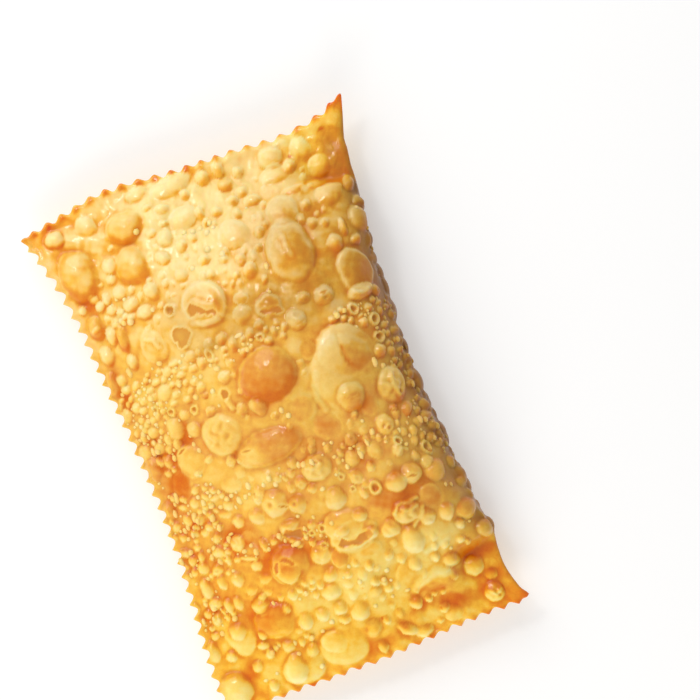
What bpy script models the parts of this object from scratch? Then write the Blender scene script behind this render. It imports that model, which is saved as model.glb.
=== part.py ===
"""Fried pastry pocket: a sheet of dough folded over once, crimped with a toothed wheel on three sides
and fried until it puffed up and blistered. It lies on its flattened underside.

+X runs from the toothed seam to the fold, +Y along the length, +Z up. The origin is under the middle.
Sizes are in millimetres until they are written to a mesh.
"""

import math
import random

import bmesh
import bpy
from mathutils import Matrix, Vector

NAME = "pastry_pocket"
MM = 0.001

# The outline. Each key is (tooth number, x, y) at a tooth's tip, and the edge runs smoothly through them.
TEETH_ACROSS = 21
TEETH_ALONG = 35
TOOTH_DEPTH = 1.6
UPPER_EDGE = (
    (0, -55.1, 79.6),
    (3, -40.1, 82.2),
    (6, -24.5, 84.2),
    (10, -3.2, 81.9),
    (14, 16.3, 80.7),
    (17, 32.4, 79.4),
    (19, 44.5, 80.6),
    (21, 55.1, 84.3),
)
LOWER_EDGE = (
    (0, -51.5, -83.0),
    (4, -32.1, -83.3),
    (8, -12.1, -84.0),
    (11, 3.1, -84.3),
    (14, 17.8, -83.7),
    (18, 36.5, -83.3),
    (20, 46.4, -83.7),
    (21, 50.9, -82.6),
)
SEAM_EDGE = (
    (0, -51.5, -83.0),
    (4, -50.8, -64.1),
    (8, -48.8, -45.6),
    (12, -47.2, -27.7),
    (18, -46.9, -0.4),
    (24, -48.2, 27.9),
    (29, -49.2, 50.8),
    (32, -51.7, 65.8),
    (35, -55.1, 79.6),
)
FOLD_EDGE = (
    (0, 50.9, -82.6),
    (1, 48.3, -78.4),
    (3, 46.6, -68.4),
    (5, 47.5, -58.9),
    (7.5, 45.7, -46.4),
    (12, 44.4, -25.4),
    (17, 43.5, -1.4),
    (21, 44.3, 16.6),
    (25, 45.7, 36.1),
    (29, 48.9, 55.6),
    (32, 50.1, 68.6),
    (34, 53.1, 78.1),
    (35, 55.1, 84.3),
)
PLACING_STEPS = 14

# Heights: the dough's parting plane at the seam and at the fold, and how far the body puffs from it.
SEAM_HEIGHT = 9.0
FOLD_HEIGHT = 11.5
PUFF_OVER = 17.5
PUFF_UNDER = 17.0

# The rim: half its thickness, how wide the crimped seal is, and where it turns thinner near the fold.
SEAL_HALF = 1.15
FOLD_HALF = 0.8
SEAL_WIDTH = 3.0
FOLD_THIN_FROM = 0.9

# The parting plane waves along and across, and the horn at the upper end of the fold turns up.
EDGE_WAVE = 0.9
WAVE_ALONG = 13.0
WAVE_ACROSS = 19.0
WAVE_START = 0.8
HORN_LIFT = 6.0
HORN_X = 46.0
HORN_Y = 77.0
HORN_FADE = 9.0

# How far in from each side the body takes to reach its full height, and how round it starts there.
SEAM_REACH = 54.0
FOLD_REACH = 30.0
END_REACH = 44.0
UNDER_SHARE = 0.85
ROUND_SHARE = 0.6

# The flat ears at the fold's two ends: where each begins, how flat it is, its slant and its step.
EAR_X = 33.0
EAR_FADE = 5.0
EAR_UPPER_Y = 60.5
EAR_LOWER_Y = -61.5
EAR_SLANT = 0.25
EAR_STEP = 1.8
EAR_FLATNESS = 0.74

# The rows near the fold lie closer together: each is a share of the way across.
FOLD_ROWS = (0.8, 0.845, 0.885, 0.92, 0.95, 0.975, 0.992)
ROWS_EVEN_AT_END = 0.08

# The blisters that stand out: (x, y, half width, half length).
BLISTERS = (
    (-44.6, 74.8, 3.2, 2.9),
    (-34.1, 74.8, 3.0, 3.6),
    (-42.0, 62.0, 6.3, 8.2),
    (-22.9, 70.3, 6.3, 5.0),
    (-25.1, 58.3, 5.3, 6.0),
    (-22.3, 49.0, 2.5, 3.2),
    (-15.8, 78.0, 3.6, 3.0),
    (-5.3, 76.6, 7.5, 3.7),
    (8.0, 75.6, 4.6, 2.7),
    (-4.8, 66.5, 4.8, 3.6),
    (-12.6, 62.5, 2.8, 2.8),
    (7.7, 55.5, 5.0, 4.6),
    (17.0, 63.2, 3.0, 2.5),
    (27.0, 73.2, 4.2, 3.7),
    (37.2, 72.8, 3.2, 3.9),
    (39.7, 66.0, 3.7, 3.4),
    (39.7, 56.0, 5.4, 4.0),
    (24.2, 56.0, 4.8, 5.0),
    (22.2, 44.0, 7.4, 9.8),
    (44.5, 45.5, 2.4, 4.6),
    (35.7, 41.2, 2.9, 3.0),
    (-43.0, 45.0, 2.6, 4.2),
    (-43.0, 35.5, 2.5, 3.8),
    (-28.3, 33.0, 4.0, 5.9),
    (-26.8, 43.5, 3.0, 3.0),
    (1.6, 33.5, 3.4, 3.6),
    (15.7, 23.8, 3.4, 3.2),
    (38.2, 30.5, 5.6, 7.0),
    (26.2, 27.5, 3.4, 3.2),
    (-30.3, 18.0, 2.8, 2.8),
    (1.2, 11.5, 9.6, 8.6),
    (-31.8, 7.0, 2.9, 4.2),
    (-43.3, 3.0, 2.6, 3.4),
    (-26.6, 4.3, 2.6, 2.8),
    (-4.8, 4.0, 3.0, 3.2),
    (-18.7, -0.3, 6.5, 7.1),
    (-31.1, -4.5, 4.3, 5.6),
    (-6.7, -9.0, 10.4, 5.9),
    (7.3, -2.0, 3.9, 3.9),
    (24.0, 5.0, 11.6, 13.8),
    (22.2, -4.2, 4.5, 4.7),
    (35.2, -5.7, 4.8, 6.1),
    (12.2, -10.0, 3.4, 4.6),
    (-43.3, -16.0, 2.6, 3.2),
    (-22.1, -15.7, 3.3, 3.1),
    (4.5, -20.8, 4.8, 4.4),
    (28.6, -16.3, 2.9, 3.5),
    (16.0, -21.8, 3.2, 2.9),
    (23.3, -22.2, 2.9, 2.9),
    (-11.6, -25.8, 4.0, 4.6),
    (-18.2, -27.5, 2.5, 2.9),
    (-5.2, -28.8, 3.0, 3.0),
    (6.3, -31.5, 3.6, 3.6),
    (25.2, -33.4, 3.5, 3.4),
    (31.0, -33.0, 3.4, 3.4),
    (38.2, -34.5, 3.3, 3.6),
    (-27.3, -33.3, 2.8, 3.2),
    (-41.6, -42.7, 2.3, 3.8),
    (-31.3, -43.5, 2.4, 2.9),
    (-14.8, -45.0, 6.2, 6.4),
    (-4.5, -45.5, 3.4, 3.7),
    (6.0, -39.8, 6.6, 5.0),
    (8.0, -45.8, 6.8, 3.4),
    (18.5, -46.1, 3.2, 3.2),
    (33.9, -41.0, 3.2, 3.4),
    (36.3, -47.8, 2.8, 3.5),
    (23.8, -52.4, 4.2, 4.8),
    (42.2, -49.5, 3.2, 3.7),
    (45.2, -57.2, 2.8, 2.8),
    (-37.3, -58.7, 3.0, 3.0),
    (-27.7, -54.0, 2.9, 3.1),
    (-26.3, -61.0, 5.2, 4.6),
    (-46.4, -62.0, 2.3, 3.4),
    (-5.7, -57.5, 3.1, 3.2),
    (-16.7, -63.3, 2.7, 3.2),
    (0.0, -67.0, 3.2, 3.1),
    (32.1, -62.6, 2.9, 2.5),
    (37.6, -67.3, 3.5, 3.5),
    (-44.0, -74.8, 4.8, 5.6),
    (-25.3, -76.2, 4.2, 4.4),
    (-8.3, -75.4, 7.0, 6.6),
    (2.0, -73.3, 2.9, 3.0),
    (12.4, -77.0, 3.6, 2.8),
    (17.0, -70.9, 2.6, 2.5),
)

# The blisters that burst: (x, y, half width, half length) of the blister, and the share of it left open.
BURST_BLISTERS = (
    (-8.6, 38.0, 7.0, 7.0, 0.66),
    (9.5, 30.8, 4.5, 4.1, 0.6),
    (-19.0, 32.5, 3.4, 3.8, 0.72),
    (-13.3, 10.5, 2.7, 3.0, 0.7),
    (-10.2, -37.2, 3.6, 2.8, 0.7),
    (30.3, -23.0, 3.2, 3.4, 0.55),
)

# Beads of dough of a few millimetres fill the gaps. They are drawn at random within these shares of the
# sheet, and a bead is left out where it would crowd a blister or come near the resting face.
BEADS_OVER = 26
BEADS_UNDER = 18
BEAD_SMALL = 1.7
BEAD_LARGE = 2.9
BEAD_LENGTHS = (0.9, 1.35)
BEAD_ACROSS = (0.04, 0.985)
BEAD_ALONG = (0.05, 0.95)
BEAD_CROWDING = 0.75
BEAD_CLEARANCE = 2.5
TRIES_FOR_A_BEAD = 60
BEAD_SEED = 7

# A blister of half width r stands BLISTER_RISE * r / (1 + BLISTER_FLATTENING * r) proud of the crust.
# The ball that makes it is sunk by a share of its own height, and keeps within the dough's far side.
BLISTER_RISE = 0.95
BLISTER_FLATTENING = 0.13
BLISTER_SUNK = 0.4
DOUGH_LEFT = 0.7
FULL_LEAN_THICKNESS = 9.0
SLOPE_REACH = 1.0
BURST_DEPTH = 2.6
BURST_TOP = 0.9
LARGE_BLISTER = 6.9
SMALL_BLISTER = 3.6

CRUST_COLOUR = (0.80, 0.42, 0.10, 1.0)
CRUST_ROUGHNESS = 0.45
SHARP_ANGLE = math.radians(50)


def smooth_path(keys, place):
    """The plan point at a place on an edge: a cubic from key to key, with its slope shared between them."""
    last = len(keys) - 1
    span = 0
    while span < last - 1 and place > keys[span + 1][0]:
        span += 1

    def slope(number):
        before = keys[max(number - 1, 0)]
        after = keys[min(number + 1, last)]
        return (Vector(after[1:]) - Vector(before[1:])) / (after[0] - before[0])

    start, end = keys[span], keys[span + 1]
    width = end[0] - start[0]
    t = (place - start[0]) / width
    ends = Vector(start[1:]) * (2 * t**3 - 3 * t**2 + 1) + Vector(end[1:]) * (3 * t**2 - 2 * t**3)
    bend = slope(span) * (t**3 - 2 * t**2 + t) + slope(span + 1) * (t**3 - t**2)
    return ends + bend * width


def plan_point(u, v):
    """Plan position on the sheet, with u from the seam to the fold and v from the lower end to the upper."""
    lower = smooth_path(LOWER_EDGE, u * TEETH_ACROSS)
    upper = smooth_path(UPPER_EDGE, u * TEETH_ACROSS)
    seam = smooth_path(SEAM_EDGE, v * TEETH_ALONG)
    fold = smooth_path(FOLD_EDGE, v * TEETH_ALONG)
    corners = (
        Vector(SEAM_EDGE[0][1:]) * (1 - u) * (1 - v)
        + Vector(FOLD_EDGE[0][1:]) * u * (1 - v)
        + Vector(SEAM_EDGE[-1][1:]) * (1 - u) * v
        + Vector(FOLD_EDGE[-1][1:]) * u * v
    )
    return lower * (1 - v) + upper * v + seam * (1 - u) + fold * u - corners


def clamped(value):
    """The value held between 0 and 1."""
    return min(max(value, 0.0), 1.0)


def sheet_place(x, y):
    """(u, v) of a plan position, closed in on step by step."""
    width = FOLD_EDGE[0][1] - SEAM_EDGE[0][1]
    length = SEAM_EDGE[-1][2] - SEAM_EDGE[0][2]
    u, v = 0.5, 0.5
    for _ in range(PLACING_STEPS):
        here = plan_point(u, v)
        u = clamped(u + (x - here.x) / width)
        v = clamped(v + (y - here.y) / length)
    return u, v


def swell(distance, reach):
    """0 at an edge and 1 from reach on: a steep round start that flattens out."""
    t = clamped(distance / reach)
    return ROUND_SHARE * math.sin(0.5 * math.pi * t) + (1 - ROUND_SHARE) * t * t * (3 - 2 * t)


def step(value, middle, width):
    """A smooth step from 0 to 1 that is width wide on either side of its middle."""
    t = clamped(0.5 + 0.5 * (value - middle) / width)
    return t * t * (3 - 2 * t)


def ear(x, y):
    """1 on the flat ears at the fold's ends, 0 on the body."""
    slant = EAR_SLANT * (EAR_X + EAR_FADE - x)
    upper = step(y, EAR_UPPER_Y + slant, EAR_STEP)
    lower = step(-y, -EAR_LOWER_Y + slant, EAR_STEP)
    return step(x, EAR_X, EAR_FADE) * max(upper, lower)


def parting_height(u, v):
    """Height of the dough's parting plane."""
    here = plan_point(u, v)
    wave = EDGE_WAVE * math.sin(here.y / WAVE_ALONG + WAVE_START) * math.cos(here.x / WAVE_ACROSS)
    horn = HORN_LIFT * step(here.y, HORN_Y, HORN_FADE) * step(here.x, HORN_X, HORN_FADE)
    return SEAM_HEIGHT + (FOLD_HEIGHT - SEAM_HEIGHT) * u + wave + horn


def puff(u, v, share):
    """Share of the full puff at a place on the sheet. The body's reaches are taken times the share given."""
    here = plan_point(u, v)
    width = smooth_path(FOLD_EDGE, v * TEETH_ALONG).x - smooth_path(SEAM_EDGE, v * TEETH_ALONG).x
    length = smooth_path(UPPER_EDGE, u * TEETH_ACROSS).y - smooth_path(LOWER_EDGE, u * TEETH_ACROSS).y
    from_seam = swell(u * width - SEAL_WIDTH, SEAM_REACH * share)
    inward = clamped((1 - u) * width / (FOLD_REACH * share))
    from_fold = math.sqrt(1 - (1 - inward) ** 2)
    from_lower = swell(v * length - SEAL_WIDTH, END_REACH * share)
    from_upper = swell((1 - v) * length - SEAL_WIDTH, END_REACH * share)
    return from_seam * from_fold * from_lower * from_upper * (1 - EAR_FLATNESS * ear(here.x, here.y))


def edge_half(u):
    """Half the thickness of the dough at the rim: the fold is a little sharper than the seal."""
    return SEAL_HALF + (FOLD_HALF - SEAL_HALF) * clamped((u - FOLD_THIN_FROM) / (1 - FOLD_THIN_FROM))


def upper_height(u, v):
    """Height of the upper crust."""
    return parting_height(u, v) + edge_half(u) + PUFF_OVER * puff(u, v, 1.0)


def lower_height(u, v):
    """Height of the underside, which is flattened where it rests."""
    return max(parting_height(u, v) - edge_half(u) - PUFF_UNDER * puff(u, v, UNDER_SHARE), 0.0)


def crust_point(x, y, height):
    """Point of the crust at a plan position, and the way a blister there leans: upright on a thin edge."""

    def at(px, py):
        return Vector((px, py, height(*sheet_place(px, py))))

    across = at(x + SLOPE_REACH, y) - at(x - SLOPE_REACH, y)
    along = at(x, y + SLOPE_REACH) - at(x, y - SLOPE_REACH)
    normal = across.cross(along).normalized()
    place = sheet_place(x, y)
    thickness = upper_height(*place) - lower_height(*place)
    lean = clamped(thickness / FULL_LEAN_THICKNESS) ** 2
    normal = (normal * lean + Vector((0.0, 0.0, 1.0)) * (1 - lean)).normalized()
    if height is lower_height:
        normal = -normal
    return at(x, y), normal


def drawn_in(u, v):
    """The share across that a row of the sheet moves to, so that the round of the fold is well formed."""
    first = TEETH_ACROSS - len(FOLD_ROWS)
    row = round(u * TEETH_ACROSS)
    drawn = FOLD_ROWS[row - first] if row >= first else row / first * FOLD_ROWS[0]
    return u + (drawn - u) * clamped(min(v, 1 - v) / ROWS_EVEN_AT_END)


def notch(u, v):
    """How far a point of the toothed rim is drawn in: not at all at a tip, fully between two teeth."""
    across = abs(u * TEETH_ACROSS - round(u * TEETH_ACROSS))
    along = abs(v * TEETH_ALONG - round(v * TEETH_ALONG))
    if across > along:
        return Vector((0.0, TOOTH_DEPTH * 2 * across if v < 0.5 else -TOOTH_DEPTH * 2 * across))
    return Vector((TOOTH_DEPTH * 2 * along, 0.0))


def crust_body():
    """The puffed pocket without blisters: one sheet laid out, doubled and closed round its toothed rim."""
    mesh = bmesh.new()
    square = Matrix.Translation((0.5, 0.5, 0.0))
    bmesh.ops.create_grid(mesh, x_segments=TEETH_ACROSS, y_segments=TEETH_ALONG, size=0.5, matrix=square)
    fold_side = {vert for vert in mesh.verts if vert.co.x > 1 - 0.5 / TEETH_ACROSS}
    toothed = [edge for edge in mesh.edges if edge.is_boundary and not fold_side.issuperset(edge.verts)]
    bmesh.ops.subdivide_edges(mesh, edges=toothed, cuts=1)
    across = mesh.verts.layers.float.new("across")
    along = mesh.verts.layers.float.new("along")
    for vert in mesh.verts:
        u, v = vert.co.x, vert.co.y
        if not vert.is_boundary:
            u = drawn_in(u, v)
        point = plan_point(u, v)
        if vert.is_boundary and vert not in fold_side:
            point += notch(u, v)
        vert[across], vert[along] = u, v
        vert.co = Vector((*point, lower_height(u, v)))
    grown = bmesh.ops.extrude_face_region(mesh, geom=mesh.faces[:])
    for item in grown["geom"]:
        if isinstance(item, bmesh.types.BMVert):
            item.co.z = upper_height(item[across], item[along])
    bmesh.ops.recalc_face_normals(mesh, faces=mesh.faces[:])
    return mesh


def blister_rise(half_width):
    """How far a blister stands proud: small ones are round, large ones flatter."""
    return BLISTER_RISE * half_width / (1 + BLISTER_FLATTENING * half_width)


def blister_mesh(x, y, half_width, half_length, height):
    """A ball squashed to the blister's size, set into the crust and leaning with it."""
    point, normal = crust_point(x, y, height)
    smaller = min(half_width, half_length)
    thickness = blister_rise(smaller) / (1 - BLISTER_SUNK)
    spread = 1 / math.sqrt(1 - BLISTER_SUNK**2)
    across = Vector((1.0, 0.0, 0.0))
    across = (across - normal * across.dot(normal)).normalized()
    along = normal.cross(across)
    turn = Matrix((across, along, normal)).transposed().to_4x4()
    size = Matrix.Diagonal((half_width * spread, half_length * spread, thickness, 1.0))
    centre = point - normal * thickness * BLISTER_SUNK
    mesh = bmesh.new()
    if smaller < SMALL_BLISTER:
        bmesh.ops.create_uvsphere(mesh, u_segments=8, v_segments=4, radius=1.0)
    elif smaller < LARGE_BLISTER:
        bmesh.ops.create_icosphere(mesh, subdivisions=2, radius=1.0)
    else:
        bmesh.ops.create_icosphere(mesh, subdivisions=3, radius=1.0)
    bmesh.ops.transform(mesh, matrix=Matrix.Translation(centre) @ turn @ size, verts=mesh.verts[:])
    for vert in mesh.verts:
        place = sheet_place(vert.co.x, vert.co.y)
        if height is upper_height:
            vert.co.z = max(vert.co.z, lower_height(*place) + DOUGH_LEFT)
        else:
            vert.co.z = min(vert.co.z, upper_height(*place) - DOUGH_LEFT)
    return mesh


def burst_mesh(x, y, half_width, half_length, share):
    """What is missing from a burst blister: a bowl that opens its top and sinks into the crust."""
    point, normal = crust_point(x, y, upper_height)
    size = Matrix.Diagonal((half_width * share, half_length * share, BURST_DEPTH, 1.0))
    lean = normal.to_track_quat("Z", "Y").to_matrix().to_4x4()
    top = point + normal * blister_rise(min(half_width, half_length)) * BURST_TOP
    mesh = bmesh.new()
    bmesh.ops.create_icosphere(mesh, subdivisions=2, radius=1.0, matrix=Matrix.Translation(top) @ lean @ size)
    return mesh


def scattered_beads(count, height, taken, chance):
    """Beads at random places on the crust, clear of the blisters placed before them."""
    beads = []
    for _ in range(count * TRIES_FOR_A_BEAD):
        if len(beads) == count:
            break
        u = chance.uniform(*BEAD_ACROSS)
        v = chance.uniform(*BEAD_ALONG)
        if height is lower_height and height(u, v) < BEAD_CLEARANCE:
            continue
        here = plan_point(u, v)
        size = chance.uniform(BEAD_SMALL, BEAD_LARGE)
        apart = [math.hypot(here.x - x, here.y - y) - BEAD_CROWDING * max(a, b) for x, y, a, b in taken]
        if min(apart, default=math.inf) > size:
            bead = (here.x, here.y, size, size * chance.uniform(*BEAD_LENGTHS))
            beads.append(bead)
            taken.append(bead)
    return beads


def new_object(name, mesh, collection, material=None):
    """An object in a collection, from a bmesh in millimetres."""
    bmesh.ops.scale(mesh, vec=(MM, MM, MM), verts=mesh.verts[:])
    data = bpy.data.meshes.new(name)
    mesh.to_mesh(data)
    mesh.free()
    if material:
        data.materials.append(material)
    made = bpy.data.objects.new(name, data)
    collection.objects.link(made)
    return made


def new_collection(name):
    """A collection in the scene."""
    made = bpy.data.collections.new(name)
    bpy.context.scene.collection.children.link(made)
    return made


def crust_material():
    """Golden fried dough."""
    material = bpy.data.materials.new("fried_crust")
    material.use_nodes = True
    shader = material.node_tree.nodes["Principled BSDF"]
    shader.inputs["Base Color"].default_value = CRUST_COLOUR
    shader.inputs["Roughness"].default_value = CRUST_ROUGHNESS
    shader.inputs["Metallic"].default_value = 0.0
    return material


def combine(target, name, meshes, operation):
    """Joins the meshes to the target, or cuts them from it, as one collection that is then removed."""
    others = new_collection(name)
    for mesh in meshes:
        helper = new_object(name, mesh, others)
        helper.hide_render = True
        helper.display_type = "WIRE"
    change = target.modifiers.new(name, "BOOLEAN")
    change.operand_type = "COLLECTION"
    change.collection = others
    change.operation = operation
    change.solver = "EXACT"
    bpy.context.view_layer.update()
    evaluated = target.evaluated_get(bpy.context.evaluated_depsgraph_get())
    data = bpy.data.meshes.new_from_object(evaluated)
    target.modifiers.remove(change)
    target.data = data
    for helper in list(others.objects):
        bpy.data.objects.remove(helper)
    bpy.data.collections.remove(others)


def build():
    """Clears the scene and makes the pastry."""
    for item in list(bpy.data.objects):
        bpy.data.objects.remove(item)
    parts = new_collection("fried_pastry_pocket")
    pastry = new_object(NAME, crust_body(), parts, crust_material())

    chance = random.Random(BEAD_SEED)
    taken = [*BLISTERS, *(burst[:4] for burst in BURST_BLISTERS)]
    over = [*taken, *scattered_beads(BEADS_OVER, upper_height, taken, chance)]
    under = scattered_beads(BEADS_UNDER, lower_height, [], chance)
    blisters = [blister_mesh(*blister, upper_height) for blister in over]
    blisters += [blister_mesh(*blister, lower_height) for blister in under]
    combine(pastry, "blisters", blisters, "UNION")
    combine(pastry, "openings", [burst_mesh(*burst) for burst in BURST_BLISTERS], "DIFFERENCE")

    pastry.data.name = NAME
    pastry.data.shade_smooth()
    pastry.data.set_sharp_from_angle(angle=SHARP_ANGLE)


build()
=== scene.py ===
"""The looks of a fried pastry pocket: its blistered crust, its beads of dough, the light and the floor.

The crust repeats the solid's own sizes, so it lies where the solid lies. +X runs from the toothed seam to
the fold, +Y along the length and +Z up. Sizes are in millimetres until they are written to a mesh.
"""

import logging
import math
from collections.abc import Iterable
from dataclasses import dataclass, field
from enum import Enum

import bmesh
import bpy
import numpy as np
from mathutils import Matrix, Vector


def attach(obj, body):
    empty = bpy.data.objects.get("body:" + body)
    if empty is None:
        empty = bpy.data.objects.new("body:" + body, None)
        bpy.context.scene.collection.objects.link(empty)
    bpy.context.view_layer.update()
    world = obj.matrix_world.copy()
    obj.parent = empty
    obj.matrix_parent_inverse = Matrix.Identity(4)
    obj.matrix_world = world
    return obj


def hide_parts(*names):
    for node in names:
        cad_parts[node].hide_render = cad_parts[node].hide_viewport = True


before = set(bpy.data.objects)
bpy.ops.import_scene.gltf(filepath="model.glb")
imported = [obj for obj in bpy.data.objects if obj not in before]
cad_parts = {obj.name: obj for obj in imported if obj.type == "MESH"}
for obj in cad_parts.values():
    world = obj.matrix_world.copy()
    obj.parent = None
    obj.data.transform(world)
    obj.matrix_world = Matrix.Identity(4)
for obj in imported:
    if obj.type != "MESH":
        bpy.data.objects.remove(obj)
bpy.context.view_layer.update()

LOG = logging.getLogger("pastry")
MM = 0.001
TURN = 2 * math.pi
NODE = "pastry_pocket"

Array = np.ndarray
Chance = np.random.Generator
Row = tuple[float, ...]
Rows = tuple[Row, ...]
Colour = tuple[float, float, float, float]
Point = tuple[float, float]
Place = tuple[int, float, float, float]

# Places below were read from the middle of the outline, which is this far from the origin.
SURVEY_SHIFT = (-0.3, -0.4)

# The outline: (tooth number, x, y) at the tips of teeth, from the origin.
UPPER_EDGE: Rows = (
    (0, -55.1, 79.6), (3, -40.1, 82.2), (6, -24.5, 84.2), (10, -3.2, 81.9), (14, 16.3, 80.7),
    (17, 32.4, 79.4), (19, 44.5, 80.6), (21, 55.1, 84.3),
)
LOWER_EDGE: Rows = (
    (0, -51.5, -83), (4, -32.1, -83.3), (8, -12.1, -84), (11, 3.1, -84.3), (14, 17.8, -83.7),
    (18, 36.5, -83.3), (20, 46.4, -83.7), (21, 50.9, -82.6),
)
SEAM_EDGE: Rows = (
    (0, -51.5, -83), (4, -50.8, -64.1), (8, -48.8, -45.6), (12, -47.2, -27.7), (18, -46.9, -0.4),
    (24, -48.2, 27.9), (29, -49.2, 50.8), (32, -51.7, 65.8), (35, -55.1, 79.6),
)
FOLD_EDGE: Rows = (
    (0, 50.9, -82.6), (1, 48.3, -78.4), (3, 46.6, -68.4), (5, 47.5, -58.9), (7.5, 45.7, -46.4),
    (12, 44.4, -25.4), (17, 43.5, -1.4), (21, 44.3, 16.6), (25, 45.7, 36.1), (29, 48.9, 55.6),
    (32, 50.1, 68.6), (34, 53.1, 78.1), (35, 55.1, 84.3),
)

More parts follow.
